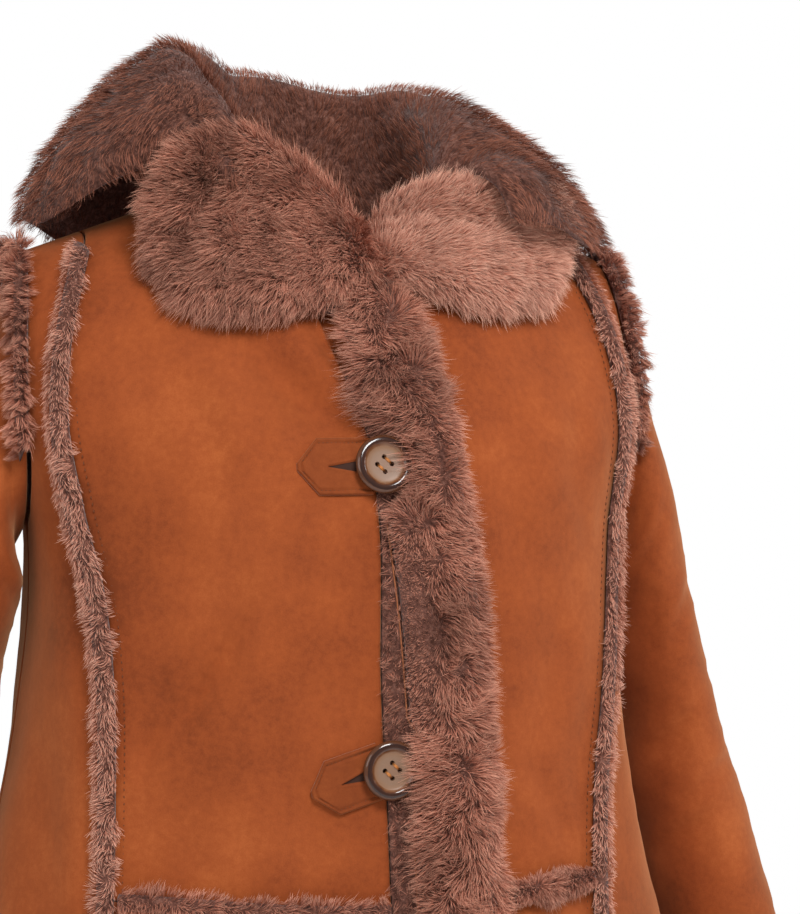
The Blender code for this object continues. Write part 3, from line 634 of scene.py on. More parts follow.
def noise(made, where, size, detail=3.0):
    """Noise whose features have this size in metres."""
    inputs = {"Vector": where, "Scale": 1 / size, "Detail": detail}
    return add(made, "ShaderNodeTexNoise", inputs).outputs["Fac"]


def maths(made, operation, first, second):
    return add(made, "ShaderNodeMath", {0: first, 1: second}, operation=operation).outputs[0]


def blended(made, parts):
    """The sum of these outputs, each times its weight."""
    total = None
    for value, weight in parts:
        part = maths(made, "MULTIPLY", value, weight)
        total = part if total is None else maths(made, "ADD", total, part)
    return total


def ramp(made, value, stops):
    """A colour ramp through these (place, colour) stops."""
    node = add(made, "ShaderNodeValToRGB", {"Fac": value})
    elements, stops = node.color_ramp.elements, list(stops)
    while len(elements) < len(stops):
        elements.new(0.5)
    for element, (at, colour) in zip(elements, stops):
        element.position = at
        element.color = (*colour, 1)
    return node.outputs["Color"]


def bump(made, height, strength, distance):
    inputs = {"Height": height, "Strength": strength, "Distance": distance}
    feed(made, "Normal", add(made, "ShaderNodeBump", inputs).outputs["Normal"])


def make_suede(name, shade):
    """Brushed suede: broad patches, smaller clouds and a fine nap, its colours times shade."""
    made = plain(name, {
        "Sheen Weight": 0.35, "Sheen Roughness": 0.45, "Sheen Tint": (1.0, 0.55, 0.28, 1),
        "Specular IOR Level": 0.18,
    })
    where = place_of(made)
    patches = noise(made, where, 0.120, 2.0)
    clouds = noise(made, where, 0.034, 5.0)
    flecks = noise(made, where, 0.0042, 3.0)
    nap = noise(made, where, 0.0009, 2.0)
    tone = blended(made, [(patches, 0.42), (clouds, 0.28), (flecks, 0.18), (nap, 0.12)])
    colours = [
        (0.36, (0.190, 0.037, 0.008)),
        (0.46, (0.268, 0.055, 0.012)),
        (0.54, (0.316, 0.068, 0.015)),
        (0.66, (0.400, 0.098, 0.024)),
    ]
    colour = ramp(made, tone, [(at, [shade * part for part in rgb]) for at, rgb in colours])
    feed(made, "Base Color", colour)
    feed(made, "Roughness", maths(made, "ADD", maths(made, "MULTIPLY", clouds, 0.2), 0.75))
    bump(made, blended(made, [(clouds, 0.5), (flecks, 0.35), (nap, 0.30)]), 0.35, 0.0006)
    return made


def make_raw_edge():
    """The paler cut edge of the hide."""
    made = plain("hide_edge", {"Roughness": 0.85, "Sheen Weight": 0.2})
    grain = noise(made, place_of(made), 0.0015, 3.0)
    feed(made, "Base Color", ramp(made, grain, [
        (0.35, (0.30, 0.080, 0.022)), (0.65, (0.47, 0.160, 0.055)),
    ]))
    bump(made, grain, 0.4, 0.0004)
    return made


def make_pile():
    """The short wool on the coat's inside and under the strands."""
    made = plain("wool_pile", {"Roughness": 0.95, "Sheen Weight": 0.25, "Specular IOR Level": 0.1})
    where = place_of(made)
    tufts = noise(made, where, 0.0045, 4.0)
    curls = noise(made, where, 0.0016, 3.0)
    tone = blended(made, [(tufts, 0.55), (curls, 0.45)])
    feed(made, "Base Color", ramp(made, tone, [
        (0.36, (0.060, 0.022, 0.015)), (0.52, (0.145, 0.058, 0.041)), (0.66, (0.250, 0.115, 0.083)),
    ]))
    bump(made, tone, 0.9, 0.0020)
    return made


# The wool's colours, and how much of them the darkest, middle and palest strands keep.
STRAND_COLOURS = {
    # material: root, middle, tip
    "wool_lapel": ((0.19, 0.064, 0.041), (0.54, 0.205, 0.132), (0.90, 0.47, 0.325)),
    # A paler copy of the lapel wool: painted light for the lit left lapel and the princess bands.
    "wool_painted_lit": ((0.21, 0.078, 0.052), (0.60, 0.255, 0.172), (0.96, 0.58, 0.43)),
    "wool_collar": ((0.085, 0.027, 0.016), (0.290, 0.098, 0.057), (0.50, 0.21, 0.135)),
}
STRAND_SHARES = {
    "wool_lapel": ((0.36, 0.33, 0.33), (0.76, 0.74, 0.74), (1, 1, 1)),
    "wool_painted_lit": ((0.36, 0.33, 0.33), (0.78, 0.76, 0.76), (1, 1, 1)),
    "wool_collar": ((0.40, 0.38, 0.38), (0.82, 0.80, 0.80), (1, 1, 1)),
}


def make_strands(name):
    """Wool strands. Their map's V runs from root to tip, and its U is the strand's own shade."""
    made = plain(name, {
        "Roughness": 0.60, "Sheen Weight": 0.06, "Sheen Tint": (1.0, 0.72, 0.60, 1),
        "Specular IOR Level": 0.16,
    })
    uv = add(made, "ShaderNodeUVMap", {}, uv_map="OFBake").outputs["UV"]
    parts = add(made, "ShaderNodeSeparateXYZ", {"Vector": uv}).outputs
    along = ramp(made, parts["Y"], zip((0, 0.5, 1), STRAND_COLOURS[name]))
    shade = ramp(made, parts["X"], zip((0, 0.5, 1), STRAND_SHARES[name]))
    inputs = {"Factor": 1.0, 6: along, 7: shade}
    mixed = add(made, "ShaderNodeMix", inputs, data_type="RGBA", blend_type="MULTIPLY")
    feed(made, "Base Color", mixed.outputs[2])
    return made


def make_horn():
    """A dark, glossy rim round a milky middle. The button's own axis is Z."""
    made = plain("button_horn", {"Specular IOR Level": 0.55})
    where = place_of(made)
    flat = add(made, "ShaderNodeVectorMath", {0: where, 1: (1, 1, 0)}, operation="MULTIPLY")
    away = add(made, "ShaderNodeVectorMath", {0: flat.outputs[0]}, operation="LENGTH")
    veins = noise(made, where, 0.006, 4.0)
    rings = add(made, "ShaderNodeTexWave", {
        "Vector": where, "Scale": 260.0, "Distortion": 1.2,
    }, wave_type="RINGS", rings_direction="Z").outputs["Fac"]
    share = maths(made, "DIVIDE", away.outputs["Value"], BUTTON_ACROSS / 2)
    rim = maths(made, "GREATER_THAN", share, 0.64)
    feed(made, "Roughness", maths(made, "SUBTRACT", 0.46, maths(made, "MULTIPLY", rim, 0.34)))
    tone = blended(made, [(share, 1.0), (veins, 0.14), (rings, 0.02)])
    feed(made, "Base Color", ramp(made, tone, [
        (0.10, (0.25, 0.135, 0.080)),
        (0.52, (0.25, 0.145, 0.090)),
        (0.70, (0.26, 0.130, 0.066)),
        (0.77, (0.16, 0.055, 0.020)),
        (0.83, (0.050, 0.016, 0.008)),
        (0.96, (0.028, 0.010, 0.007)),
        (1.00, (0.10, 0.036, 0.016)),
    ]))
    return made


SUEDE = make_suede("suede_nap", 1.0)
# A darker copy of the suede, for the buttonhole patches.
TAB_SUEDE = make_suede("suede_darker", 0.74)
RAW_EDGE = make_raw_edge()
PILE = make_pile()
HIDE_LOOKS = (SUEDE, PILE, RAW_EDGE)
TRIM_LOOKS = (PILE, PILE, PILE)
STRANDS = {name: make_strands(name) for name in STRAND_COLOURS}
HORN = make_horn()
THREAD = plain("button_thread", {"Base Color": (0.55, 0.20, 0.045, 1), "Roughness": 0.6})
STITCH = plain("seam_stitch", {"Base Color": (0.16, 0.045, 0.012, 1), "Roughness": 0.8})
# Near-black painted shadow for the floor of each buttonhole's slit.
SLIT = plain("buttonhole_painted_shadow", {"Base Color": (0.045, 0.016, 0.009, 1), "Roughness": 0.95})


# The panels

def shares(long, step):
    """Shares of a length, evenly spaced, with closer ones where its ends roll over."""
    rolled = np.array([0.0, 0.12, 0.40, 0.75, 1.1, 1.7]) * ROLLED / long
    inside = np.linspace(0, 1, max(round(long / step), 3) + 1)
    inside = inside[(inside > rolled[-1] * 1.3) & (inside < 1 - rolled[-1] * 1.3)]
    return np.concatenate([rolled, inside, 1 - rolled[::-1]])


def patch(left, right, top, bottom, face, sideways, downwards):
    """The across and down values of a grid between two seams and between a top and a bottom."""
    share = sideways[None, :]
    ends = []
    for end in (top, bottom):
        down = np.full((1, len(sideways)), 0.5)
        for _ in range(12):
            across = mix(left(down), right(down), share)
            down = end(body(across, down, face)[..., 0])
        ends.append(down)
    down = mix(ends[0], ends[1], downwards[:, None])
    return mix(left(down), right(down), share), down


def creased(table, u, v):
    """The height that creases give a surface at u and v."""
    height = np.zeros(np.broadcast(u, v).shape)
    for from_u, from_v, to_u, to_v, width, deep, bow in table:
        run_u, run_v = to_u - from_u, to_v - from_v
        long = math.hypot(run_u, run_v)
        along = ((u - from_u) * run_u + (v - from_v) * run_v) / long**2
        aside = ((u - from_u) * run_v - (v - from_v) * run_u) / long
        aside = aside - bow * 4 * along * (1 - along)
        fade = np.sqrt(eased(along * 2.5) * eased((1 - along) * 2.5))
        trough = np.exp(-((aside / width) ** 2))
        beside = np.exp(-(((aside - 1.7 * width) / width) ** 2))
        height += deep * fade * (0.5 * beside - trough)
    return height


def from_edges(points, wrap=False):
    """Each grid point's distance along the grid to the nearest cut edge."""
    found = []
    for axis in (0,) if wrap else (0, 1):
        step = np.linalg.norm(np.diff(points, axis=axis), axis=-1)
        start = np.zeros_like(np.take(step, [0], axis=axis))
        run = np.concatenate([start, np.cumsum(step, axis=axis)], axis=axis)
        found += [run, np.take(run, [-1], axis=axis) - run]
    return np.minimum.reduce(found)


def rolled(edge):
    """How far a cut edge's roll goes in at this distance from it."""
    return ROLLED - np.sqrt(ROLLED**2 - np.clip(ROLLED - edge, 0, ROLLED) ** 2)


def declare(node):
    """Hides the CAD node that a shell of cloth stands for."""
    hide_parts(node)


def panel(node, cut, face, table, sink=None):
    """A panel's shell: hide outside, wool inside."""
    across, down = cut
    points = body(across, down, face)
    away = outward(across, down, face)
    x, drop = points[..., 0], -points[..., 2]
    edge = from_edges(points)
    calm = eased((edge - ROLLED) / 0.020)
    lift = creased(table, x, drop)
    lift = lift + 0.0012 * wander(points, 0.10, 3) + 0.0003 * wander(points, 0.022, 4)
    lift = lift * calm - (0 if sink is None else sink(x, drop))
    outer = points + away * (lift - rolled(edge))[..., None]
    inner = points + away * (lift - HIDE)[..., None]
    obj = shell(node + "_suede", outer, inner, HIDE_LOOKS)
    declare(node)
    return obj


def princess(side, gap):
    """The princess seam's across value against down, moved outwards by gap."""
    return lambda down: side * line_across(lambda drop: princess_x[side](drop) + gap, down)


def level_cut(drop, dip=0.0):
    """A cut at one drop, dipping by dip at the middle of the front."""
    return lambda x: down_of(x, drop + dip * (1 - eased(np.abs(x) / WAIST_DIP_REACH)))


def free_edge(side):
    """The free edge of a front. The wearer's left one lies under the right one."""
    line = {"right": edge_x, "left": lambda drop: UNDERLAP_X + 0 * drop}[side]
    return lambda down: line_across(line, down)


def side_seam(sign):
    return lambda down: sign * SIDE_SEAM + 0 * down


def under(x, drop):
    """How far the left front lies inside the body surface, to pass under the right one."""
    clear = band_x(drop) + FRONT_BAND_SIZE[0] / 2
    return UNDERLAP_DEEP * (1 - eased((x - clear + UNDERLAP_RUN) / UNDERLAP_RUN))


def top_of(face):
    """The top of a panel: the neckline, and beyond the neck the shoulder seam."""
    return lambda x: np.where(np.abs(x) < NECK_WIDE, neckline(x, face), SHOULDER_SEAM)


# How long each stretch of panel is and how far apart its grid's points are.
FRONT_GRID, FRONT_SKIRT_GRID, SIDE_GRID, BACK_GRID = (
    (0.18, 0.0032), (0.19, 0.0045), (0.08, 0.0045), (0.5, 0.0070),
)
FRONT_STEPS, SIDE_STEPS, SKIRT_STEPS, BACK_STEPS = 0.0036, 0.005, 0.006, 0.0075
ROLL_POINTS = 6


def make_panels():
    seam, top = SEAM_X / 2, top_of(-1)
    waist_above = level_cut(WAIST_DROP - GAP / 2, WAIST_DIP)
    waist_below = level_cut(WAIST_DROP + GAP / 2, WAIST_DIP)
    hem = level_cut(COAT_LENGTH)
    skirt = shares(COAT_LENGTH - WAIST_DROP, SKIRT_STEPS)
    fronts = {
        "right": (princess(-1, -seam), free_edge("right"), None),
        "left": (free_edge("left"), princess(1, -seam), under),
    }
    for side, (start, end, sink) in fronts.items():
        down = shares(WAIST_DROP, FRONT_STEPS)
        upper = patch(start, end, top, waist_above, -1, shares(*FRONT_GRID), down)
        panel("front_" + side, upper, -1, FRONT_FOLDS, sink)
        lower = patch(start, end, waist_below, hem, -1, shares(*FRONT_SKIRT_GRID), skirt)
        panel("skirt_front_" + side, lower, -1, FRONT_FOLDS, sink)
    sides = {
        "right": (side_seam(-1), princess(-1, seam)),
        "left": (princess(1, seam), side_seam(1)),
    }
    for side, lines in sides.items():
        across = shares(*SIDE_GRID)
        down = shares(WAIST_DROP, SIDE_STEPS)[:-ROLL_POINTS]
        upper = patch(*lines, top, waist_above, -1, across, down)
        lower = patch(*lines, waist_below, hem, -1, across, skirt[ROLL_POINTS:])
        both = [np.concatenate([a, b]) for a, b in zip(upper, lower)]
        panel("side_" + side, both, -1, FRONT_FOLDS)
    across, down = shares(*BACK_GRID), shares(COAT_LENGTH, BACK_STEPS)
    whole = patch(side_seam(-1), side_seam(1), top_of(1), hem, 1, across, down)
    panel("back", whole, 1, BACK_FOLDS)


# The sleeves

def armhole(side, count):
    """The armhole's edge as a ring: from the shoulder down the front and up the back."""
    down = np.linspace(0, 1, count + 1)
    front = body(np.full_like(down, side), down, -1)
    behind = body(np.full_like(down, side), down[::-1], 1)
    return np.concatenate([front, behind[1:]])


def sleeve_ring(side, along, count):
    """The sleeve's outer ring at one share of its length."""
    values = [through(SLEEVE, column)(along) for column in range(1, 7)]
    first = [through(SLEEVE, column)(0.0) for column in range(1, 4)]
    x, y, z, lean, wide, deep = values
    lean = math.radians(lean)
    turn = np.linspace(0, 2 * math.pi, 2 * count + 1)
    up, front = np.cos(turn) * wide, np.sin(turn) * deep
    oval = np.stack(
        [side * (x + up * math.sin(lean)), y - front, z + up * math.cos(lean)], axis=-1
    )
    moved = np.array([side * (x - first[0] + SLEEVE_GAP), y - first[1], z - first[2]])
    held = armhole(side, count) + moved
    ring = mix(held, oval, eased(along / ARMHOLE_HOLD))
    ring[-1] = ring[0]
    return ring


SLEEVE_STATIONS, SLEEVE_STEPS = 31, 0.0054


def make_sleeves():
    turn = np.linspace(0, SLEEVE_GIRTH, 2 * SLEEVE_STATIONS + 1)[None, :]
    table = [
        (a / 360 * SLEEVE_GIRTH, b * SLEEVE_LONG, c / 360 * SLEEVE_GIRTH, d * SLEEVE_LONG, *rest)
        for a, b, c, d, *rest in SLEEVE_FOLDS
    ]
    along = shares(SLEEVE_LONG, SLEEVE_STEPS)
    for side, sign in SIDES:
        points = np.array([sleeve_ring(sign, share, SLEEVE_STATIONS) for share in along])
        centre = points[:, :-1].mean(axis=1, keepdims=True)
        away = grid_normals(points, points - centre, wrap=True)
        away[0, :, 0] = 0
        away = unit(away)
        calm = eased((along[:, None] - 0.10) / 0.08) * eased((1 - along[:, None]) / 0.03)
        lift = creased(table, turn, along[:, None] * SLEEVE_LONG)
        ripple = 0.0011 * wander(points, 0.07, 8) + 0.0004 * wander(points, 0.020, 9)
        lift = (lift + ripple) * calm
        lift[:, -1] = lift[:, 0]
        edge = from_edges(points, wrap=True)
        outer = points + away * (lift - rolled(edge))[..., None]
        inner = points + away * (lift - HIDE)[..., None]
        obj = shell(f"sleeve_{side}_suede", outer, inner, HIDE_LOOKS, wrap=True)
        declare("sleeve_" + side)
        fringe(f"cuff_{side}_wool", mix(outer[-1], inner[-1], 0.62), away[-1], 20 + sign)


def fringe(name, line, away, seed):
    """The ends of the inside wool that show along a cut edge, hanging past it."""
    rng = np.random.default_rng(seed)
    count = WOOL["cuff"].strands
    i = rng.integers(0, len(line) - 1, count)
    u = rng.random(count)[:, None]
    at = mix(line[i], line[i + 1], u)
    out = unit(mix(away[i], away[i + 1], u))
    at = at - out * rng.uniform(0, 0.003, count)[:, None]
    hang = np.tile([0.0, 0.0, -1.0], (count, 1))
    at = at - hang * 0.002
    lie = habit("cuff", at, (seed, seed, seed))
    wool(name, "cuff", at, hang + 0.15 * out, hang - 0.3 * out, *lie, seed)


# The trims

EDGE_LINE_SIZE, EDGE_LINE_LIFT = (0.0010, 0.0011), 0.0004
STITCH_SPACING, STITCH_LONG, STITCH_WIDE, STITCH_LIFT = 0.0042, 0.0026, 0.0009, 0.0002
STITCHES_ASIDE = 0.0085


def arched(across, foot=0.25):
    """A strip's share of its full height, from its middle (0) to its edges (-1 and 1)."""
    return foot + (1 - foot) * np.sqrt(np.clip(1 - across**2, 0, 1))


def strip(x, drop, size, columns, lift=TRIM_LIFT):
    """The outer and lower grids of a strip along a line on the front, arched across its width."""
    across = np.linspace(-1, 1, columns)[None, :]
    wide, high = size
    slope_x, slope_drop = np.gradient(x), np.gradient(drop)
    run = np.hypot(slope_x, slope_drop) * 2 / wide
    x_at = x[:, None] + across * (slope_drop / run)[:, None]
    drop_at = np.minimum(drop[:, None] - across * (slope_x / run)[:, None], COAT_LENGTH)
    return place(x_at, drop_at, lift + arched(across) * high), place(x_at, drop_at, lift)


def splayed(outer, base, kind, seed, spread, fall):
    """The roots of a strip's strands, combed away from its middle line and downwards, and how far
    across the strip each one is."""
    at, out, down, side, _, column = scatter(outer, outer - base, kind, seed)
    offset = 2 * column - 1
    swirl = wander(at, 0.022, seed + 1)[:, None]
    comb = side * (offset * spread)[:, None] + side * 0.55 * swirl
    comb = comb + down * (fall + 0.6 * wander(at, 0.03, seed + 2))[:, None]
    return at, out, comb, offset


def trim(node, outer, base):
    """A trim's base shell."""
    obj = shell(node + "_base", outer, base, TRIM_LOOKS)
    declare(node)


def line_of_edge(name, x, drop):
    """A thin line of cut hide along a seam."""
    outer, base = strip(x, drop, EDGE_LINE_SIZE, 5, EDGE_LINE_LIFT)
    return shell(name, outer, base, (RAW_EDGE, RAW_EDGE, RAW_EDGE))


def stitches(name, at, along, out, long, wide, look):
    """Short thread stitches, each a lozenge sunk at its ends."""
    side = unit(np.cross(along, out))
    sunk = out * wide * 0.5
    points = np.stack([
        at - along * long / 2 - sunk, at + along * long / 2 - sunk,
        at + side * wide / 2, at - side * wide / 2, at + out * wide * 0.5, at - out * wide * 0.5,
    ], axis=1).reshape(-1, 3)
    faces = np.array([
        [0, 2, 4], [2, 1, 4], [1, 3, 4], [3, 0, 4], [2, 0, 5], [1, 2, 5], [3, 1, 5], [0, 3, 5],
    ])
    first = np.arange(len(at))[:, None, None] * 6
    obj = build(name, points, [((first + faces).reshape(-1, 3), 0)], [look])
    return turned_out(obj)


def seam_stitches(name, x, drop):
    """Stitches evenly spaced along a line on the front."""
    points = place(x, drop, 0.0)
    run = np.concatenate([[0], np.cumsum(np.linalg.norm(np.diff(points, axis=0), axis=1))])
    places = np.arange(STITCH_SPACING, run[-1], STITCH_SPACING)
    x_at, drop_at = np.interp(places, run, x), np.interp(places, run, drop)
    at = place(x_at, drop_at, STITCH_LIFT)
    down = down_of(x_at, drop_at)
    out = outward(across_of(x_at, down), down, -1)
    along = unit(np.gradient(at, axis=0))
    stitches(name, at, along, out, STITCH_LONG, STITCH_WIDE, STITCH)


# How far the front band's strands reach past its left side.
BAND_REACH = (
    # drop, share
    (0.050, 1.30),
    (0.150, 1.40),
    (0.175, 1.30),
    (0.200, 1.00),
    (0.222, 0.40),
    (0.300, 0.30),
    (0.332, 0.55),
    (0.352, 1.25),
    (0.400, 1.00),
    (0.500, 0.70),
    (0.537, 1.20),
    (0.600, 0.60),
    (0.718, 1.20),
    (0.800, 0.60),
    (0.960, 0.80),
)


def band_sides(drop):
    """The left and right x of the front band, with room for the buttons."""
    wide = FRONT_BAND_SIZE[0] / 2 * mix(0.4, 1, eased((drop - FRONT_BAND_TOP) / 0.05))
    left, right = band_x(drop) - wide, band_x(drop) + wide
    beside_button = BUTTON_X + BUTTON_ACROSS / 2 + 0.001
    for button in BUTTON_DROPS:
        near = 1 - eased((np.abs(drop - button) - 0.019) / 0.012)
        left = np.where(near > 0, np.maximum(left, mix(left, beside_button, near)), left)
    return left, right


# The base stays this far inside the band's left and right sides, and takes this share of its height.
BAND_INSETS, BAND_BASE_SHARE = (0.001, 0.006), 0.55
# The strands that reach over a button: how near they grow, by its width, their lengths and lean.
OVER_NEAR, OVER_LONG, OVER_LEAN = 0.6, (0.0205, 0.0155), 0.86
FRONT_EDGE_TOP, FRONT_EDGE_UNDER = 0.12, 0.012
EDGE_STRAND = 0.0090  # the length of the strands beside the right front's cut edge


def make_front_band():
    drop = np.linspace(FRONT_BAND_TOP, COAT_LENGTH, 220)
    left, right = band_sides(drop)
    across = np.linspace(-1, 1, 11)[None, :]
    start, end = left + BAND_INSETS[0], right - BAND_INSETS[1]
    x_at = mix(start[:, None], end[:, None], (across + 1) / 2)
    high = BAND_BASE_SHARE * FRONT_BAND_SIZE[1]
    high = high * mix(0.5, 1, eased((drop - FRONT_BAND_TOP) / 0.02))[:, None]
    base = place(x_at, drop[:, None], TRIM_LIFT)
    lumps = 1 + 0.16 * wander(base, 0.035, 31)
    outer = place(x_at, drop[:, None], TRIM_LIFT + arched(across) * high * lumps)
    at, out, comb, offset = splayed(outer, base, "front_band", 32, 1.0, 0.35)
    at_drop = -at[:, 2]
    length, lean, tint = habit("front_band", at, (33, 34, 35))
    length = length * np.where(offset < -0.35, through(BAND_REACH, 1)(at_drop), 1.0)
    lean = lean + 0.34 * np.abs(offset)
    beside = np.min([np.abs(at_drop - button) for button in BUTTON_DROPS], axis=0)
    beside = beside / (OVER_NEAR * BUTTON_ACROSS)
    over = (beside < 1) & (offset < 0.0)
    comb[over] = np.array([-1.0, 0, 0]) + 0.3 * comb[over]
    length[over] = mix(*OVER_LONG, beside[over] ** 2)
    lean[over] = OVER_LEAN
    tint = tint + 0.08 * offset + 0.14 * eased((at_drop - 0.2) / 0.2)
    strands = wool("front_band_wool", "front_band", at, out, comb, length, lean, tint, 36)
    below = drop > FRONT_EDGE_TOP
    edge = line_of_edge("front_band_edge", left[below] - 0.0006, drop[below])
    trim("front_band", outer, base)


def make_front_edge():
    """The narrow strip of short, dark wool between the right front's edge and the band."""
    drop = np.linspace(FRONT_EDGE_TOP, COAT_LENGTH, 240)
    start = edge_x(drop) + GAP
    end = np.maximum(band_x(drop) - FRONT_BAND_SIZE[0] / 2, start) + FRONT_EDGE_UNDER
    x_at = mix(start[:, None], end[:, None], np.linspace(0, 1, 7)[None, :])
    outer = place(x_at, drop[:, None], 0.0)
    inner = place(x_at, drop[:, None], -HIDE + GAP)
    at, out, down, side, _, column = scatter(outer, outer - inner, "front_edge", 41)
    comb = down * 0.5 - side * 0.7 + side * wander(at, 0.006, 42)[:, None]
    by_edge = column < 0.3
    comb[by_edge] -= side[by_edge]
    length, lean, tint = habit("front_edge", at, (43, 44, 43))
    length = np.where(by_edge, EDGE_STRAND, length)
    strands = wool("front_edge_wool", "front_edge", at, out, comb, length, lean, tint, 45)
    trim("front_edge", outer, inner)


def make_princess_band(side, sign):
    number = 50 + sign
    drop = np.linspace(SEAM_BAND_TOP, COAT_LENGTH, 180)
    x = sign * princess_x[sign](drop)
    outer, base = strip(x, drop, SEAM_BAND_SIZES["princess"], 7)
    at, out, comb, offset = splayed(outer, base, "princess", number, 0.60, 0.7)
    comb = comb + np.array([0.35 * sign, 0, 0])
    length, lean, tint = habit("princess", at, (number + 1, number + 2, number + 3))
    lean = lean + 0.16 * np.abs(offset)
    name = "princess_band_" + side
    strands = wool(name + "_wool", "princess", at, out, comb, length, lean, tint, number + 4)
    seam_stitches(f"princess_stitches_{side}", x[4:-2] - sign * STITCHES_ASIDE, drop[4:-2])
    trim(name, outer, base)


def make_waist_band(side, sign):
    start = sign * (float(princess_x[sign](WAIST_DROP)) - WAIST_BAND_GAP)
    end = {
        "right": float(edge_x(WAIST_DROP)) - 0.002,
        "left": float(band_x(WAIST_DROP)) + FRONT_BAND_SIZE[0] / 2 + 0.001,
    }[side]
    x = np.linspace(start, end, 60)
    drop = WAIST_DROP + WAIST_DIP * (1 - eased(np.abs(x) / WAIST_DIP_REACH))
    outer, base = strip(x, drop, SEAM_BAND_SIZES["waist"], 9)
    number = 60 + sign
    at, out, comb, offset = splayed(outer, base, "waist", number, 1.0, 0.3)
    comb = comb + np.array([0, 0, -0.5])
    length, lean, tint = habit("waist", at, (number + 1, number, number + 2))
    lean = lean + 0.3 * np.abs(offset)
    name = "waist_band_" + side
    strands = wool(name + "_wool", "waist", at, out, comb, length, lean, tint, number + 3)
    trim(name, outer, base)


ARMHOLE_STATIONS, ARMHOLE_KEPT = 40, 0.8


def make_armhole_band(side, sign):
    """A strip of wool round an armhole, from low in front over the shoulder to low behind."""
    stations = ARMHOLE_STATIONS
    keep = round(stations * ARMHOLE_KEPT)
    order = list(range(2 * stations - keep, 2 * stations)) + list(range(keep + 1))
    down = np.linspace(0, 1, stations + 1)
    down = np.concatenate([down, down[-2::-1]])
    face = np.where(np.arange(2 * stations + 1) <= stations, -1, 1)
    seam = np.array([body(sign, d, f) for d, f in zip(down, face)])
    away = np.array([outward(sign, d, f) for d, f in zip(down, face)])
    near = np.array([sleeve_ring(sign, along, stations) for along in (0, 0.04)])
    leaving = grid_normals(near, near - near.mean(axis=(0, 1)), wrap=True)[1]
    up = unit(away + leaving)
    base = []
    for foot in ARMHOLE_BAND_FEET:
        x = seam[:, 0] - sign * foot * np.sqrt(np.clip(1 - away[:, 0] ** 2, 0, 1))
        across = across_of(x, down)
        points = [body(a, d, f) for a, d, f in zip(across, down, face)]
        lifts = [outward(a, d, f) for a, d, f in zip(across, down, face)]
        base.append(np.array(points) + TRIM_LIFT * np.array(lifts))
    base.append(seam + up * 2 * TRIM_LIFT)
    base.append(mix(near[0], near[1], 0.5) + leaving * TRIM_LIFT)
    base.append(near[1] + leaving * TRIM_LIFT)
    base = np.array(base)[:, order].transpose(1, 0, 2)
    arch = arched(np.linspace(-1, 1, 5))[None, :, None]
    outer = base + up[order][:, None, :] * ARMHOLE_BAND_HIGH * arch
    number = 70 + sign
    at, out, comb, _ = splayed(outer, base, "armhole", number, 0.25, 0.35)
    comb = comb + 1.4 * unit(near[1].mean(axis=0) - seam.mean(axis=0))
    lie = habit("armhole", at, (number + 1, number + 2, number + 3))
    name = "armhole_band_" + side
    strands = wool(name + "_wool", "armhole", at, out, comb, *lie, number + 4)
    trim(name, outer, base)


def make_trims():
    make_front_band()
    make_front_edge()
    for side, sign in SIDES:
        make_princess_band(side, sign)
        make_waist_band(side, sign)
    for side, sign in SIDES:
        make_armhole_band(side, sign)


# The collar and lapels

def fold(start, centre, radius, end):
    """The points, out and up, of a strip that rises from start, turns over a round and falls,
    bulging a little, to end."""
    def touch(point, turn):
        away = point - centre
        return math.atan2(away[1], away[0]) + turn * math.acos(radius / np.hypot(*away))

    rise = touch(start, -1) % (2 * math.pi)
    fall = touch(end, 1) % (2 * math.pi)
    arc = [
        centre + radius * np.array([math.cos(a), math.sin(a)]) for a in np.linspace(rise, fall, 14)
    ]
    stand = [mix(start, arc[0], share) for share in np.linspace(0, 1, 9)[:-1]]
    fallen = unit(end - arc[-1])
    bulge = LEAF_BULGE * np.array([-fallen[1], fallen[0]])
    leaf = [
        mix(arc[-1], end, share) + bulge * math.sin(math.pi * share)
        for share in np.linspace(0, 1, 24)[1:]
    ]
    return np.array(stand + arc + leaf)


def make_collar():
    """The collar stands inside the neck's edge and folds over."""
    angles = np.linspace(COLLAR[0][0], COLLAR[-1][0], 120)
    curves = [through(COLLAR, column) for column in range(1, 5)]
    outer, inner = [], []
    for angle in angles:
        turn = math.radians(angle)
        deep = NECK_BACK if math.sin(turn) > 0 else NECK_FRONT
        reach = NECK_WIDE * deep / math.hypot(deep * math.cos(turn), NECK_WIDE * math.sin(turn))
        x = reach * math.cos(turn)
        face = 1 if math.sin(turn) > 0 else -1
        down = neckline(x, face)
        rise = body(across_of(x, down), down, face)[2]
        roll_out, roll_up, edge_out, edge_up = (float(curve(angle)) for curve in curves)
        start = np.array([reach - COLLAR_THICK / 2, rise - COLLAR_SINK])
        middle, end = np.array([roll_out, roll_up - ROLL]), np.array([edge_out, edge_up])
        line = fold(start, middle, ROLL, end)
        along = unit(np.gradient(line, axis=0))
        side = np.stack([-along[:, 1], along[:, 0]], axis=-1)
        share = np.linspace(0, 1, len(line))
        slim = np.sqrt(np.clip(1 - eased((share - 0.88) / 0.12) ** 2, 0.03, 1))
        from_end = min(angle - angles[0], angles[-1] - angle)
        slim = slim * math.sqrt(max(0.05, 1 - (1 - min(from_end / 9, 1)) ** 2))
        for store, sign in ((outer, 1), (inner, -1)):
            at = line + side * (sign * 0.72 * COLLAR_THICK / 2 * slim)[:, None]
            store.append(np.stack([
                at[:, 0] * math.cos(turn), RIDGE_Y + at[:, 0] * math.sin(turn), at[:, 1],
            ], axis=-1))
    outer, inner = np.array(outer), np.array(inner)
    wave = 0.0024 * wander(outer, 0.055, 81)[..., None]
    wave = wave * eased(np.linspace(0, 3, outer.shape[1]))[:, None]
    face = grid_normals(outer, outer - inner)
    outer = outer + face * wave
    strands = [
        collar_wool("collar", outer, outer - inner, 82),
        collar_wool("collar_under", inner, inner - outer, 86),
    ]
    trim("collar", outer, inner)


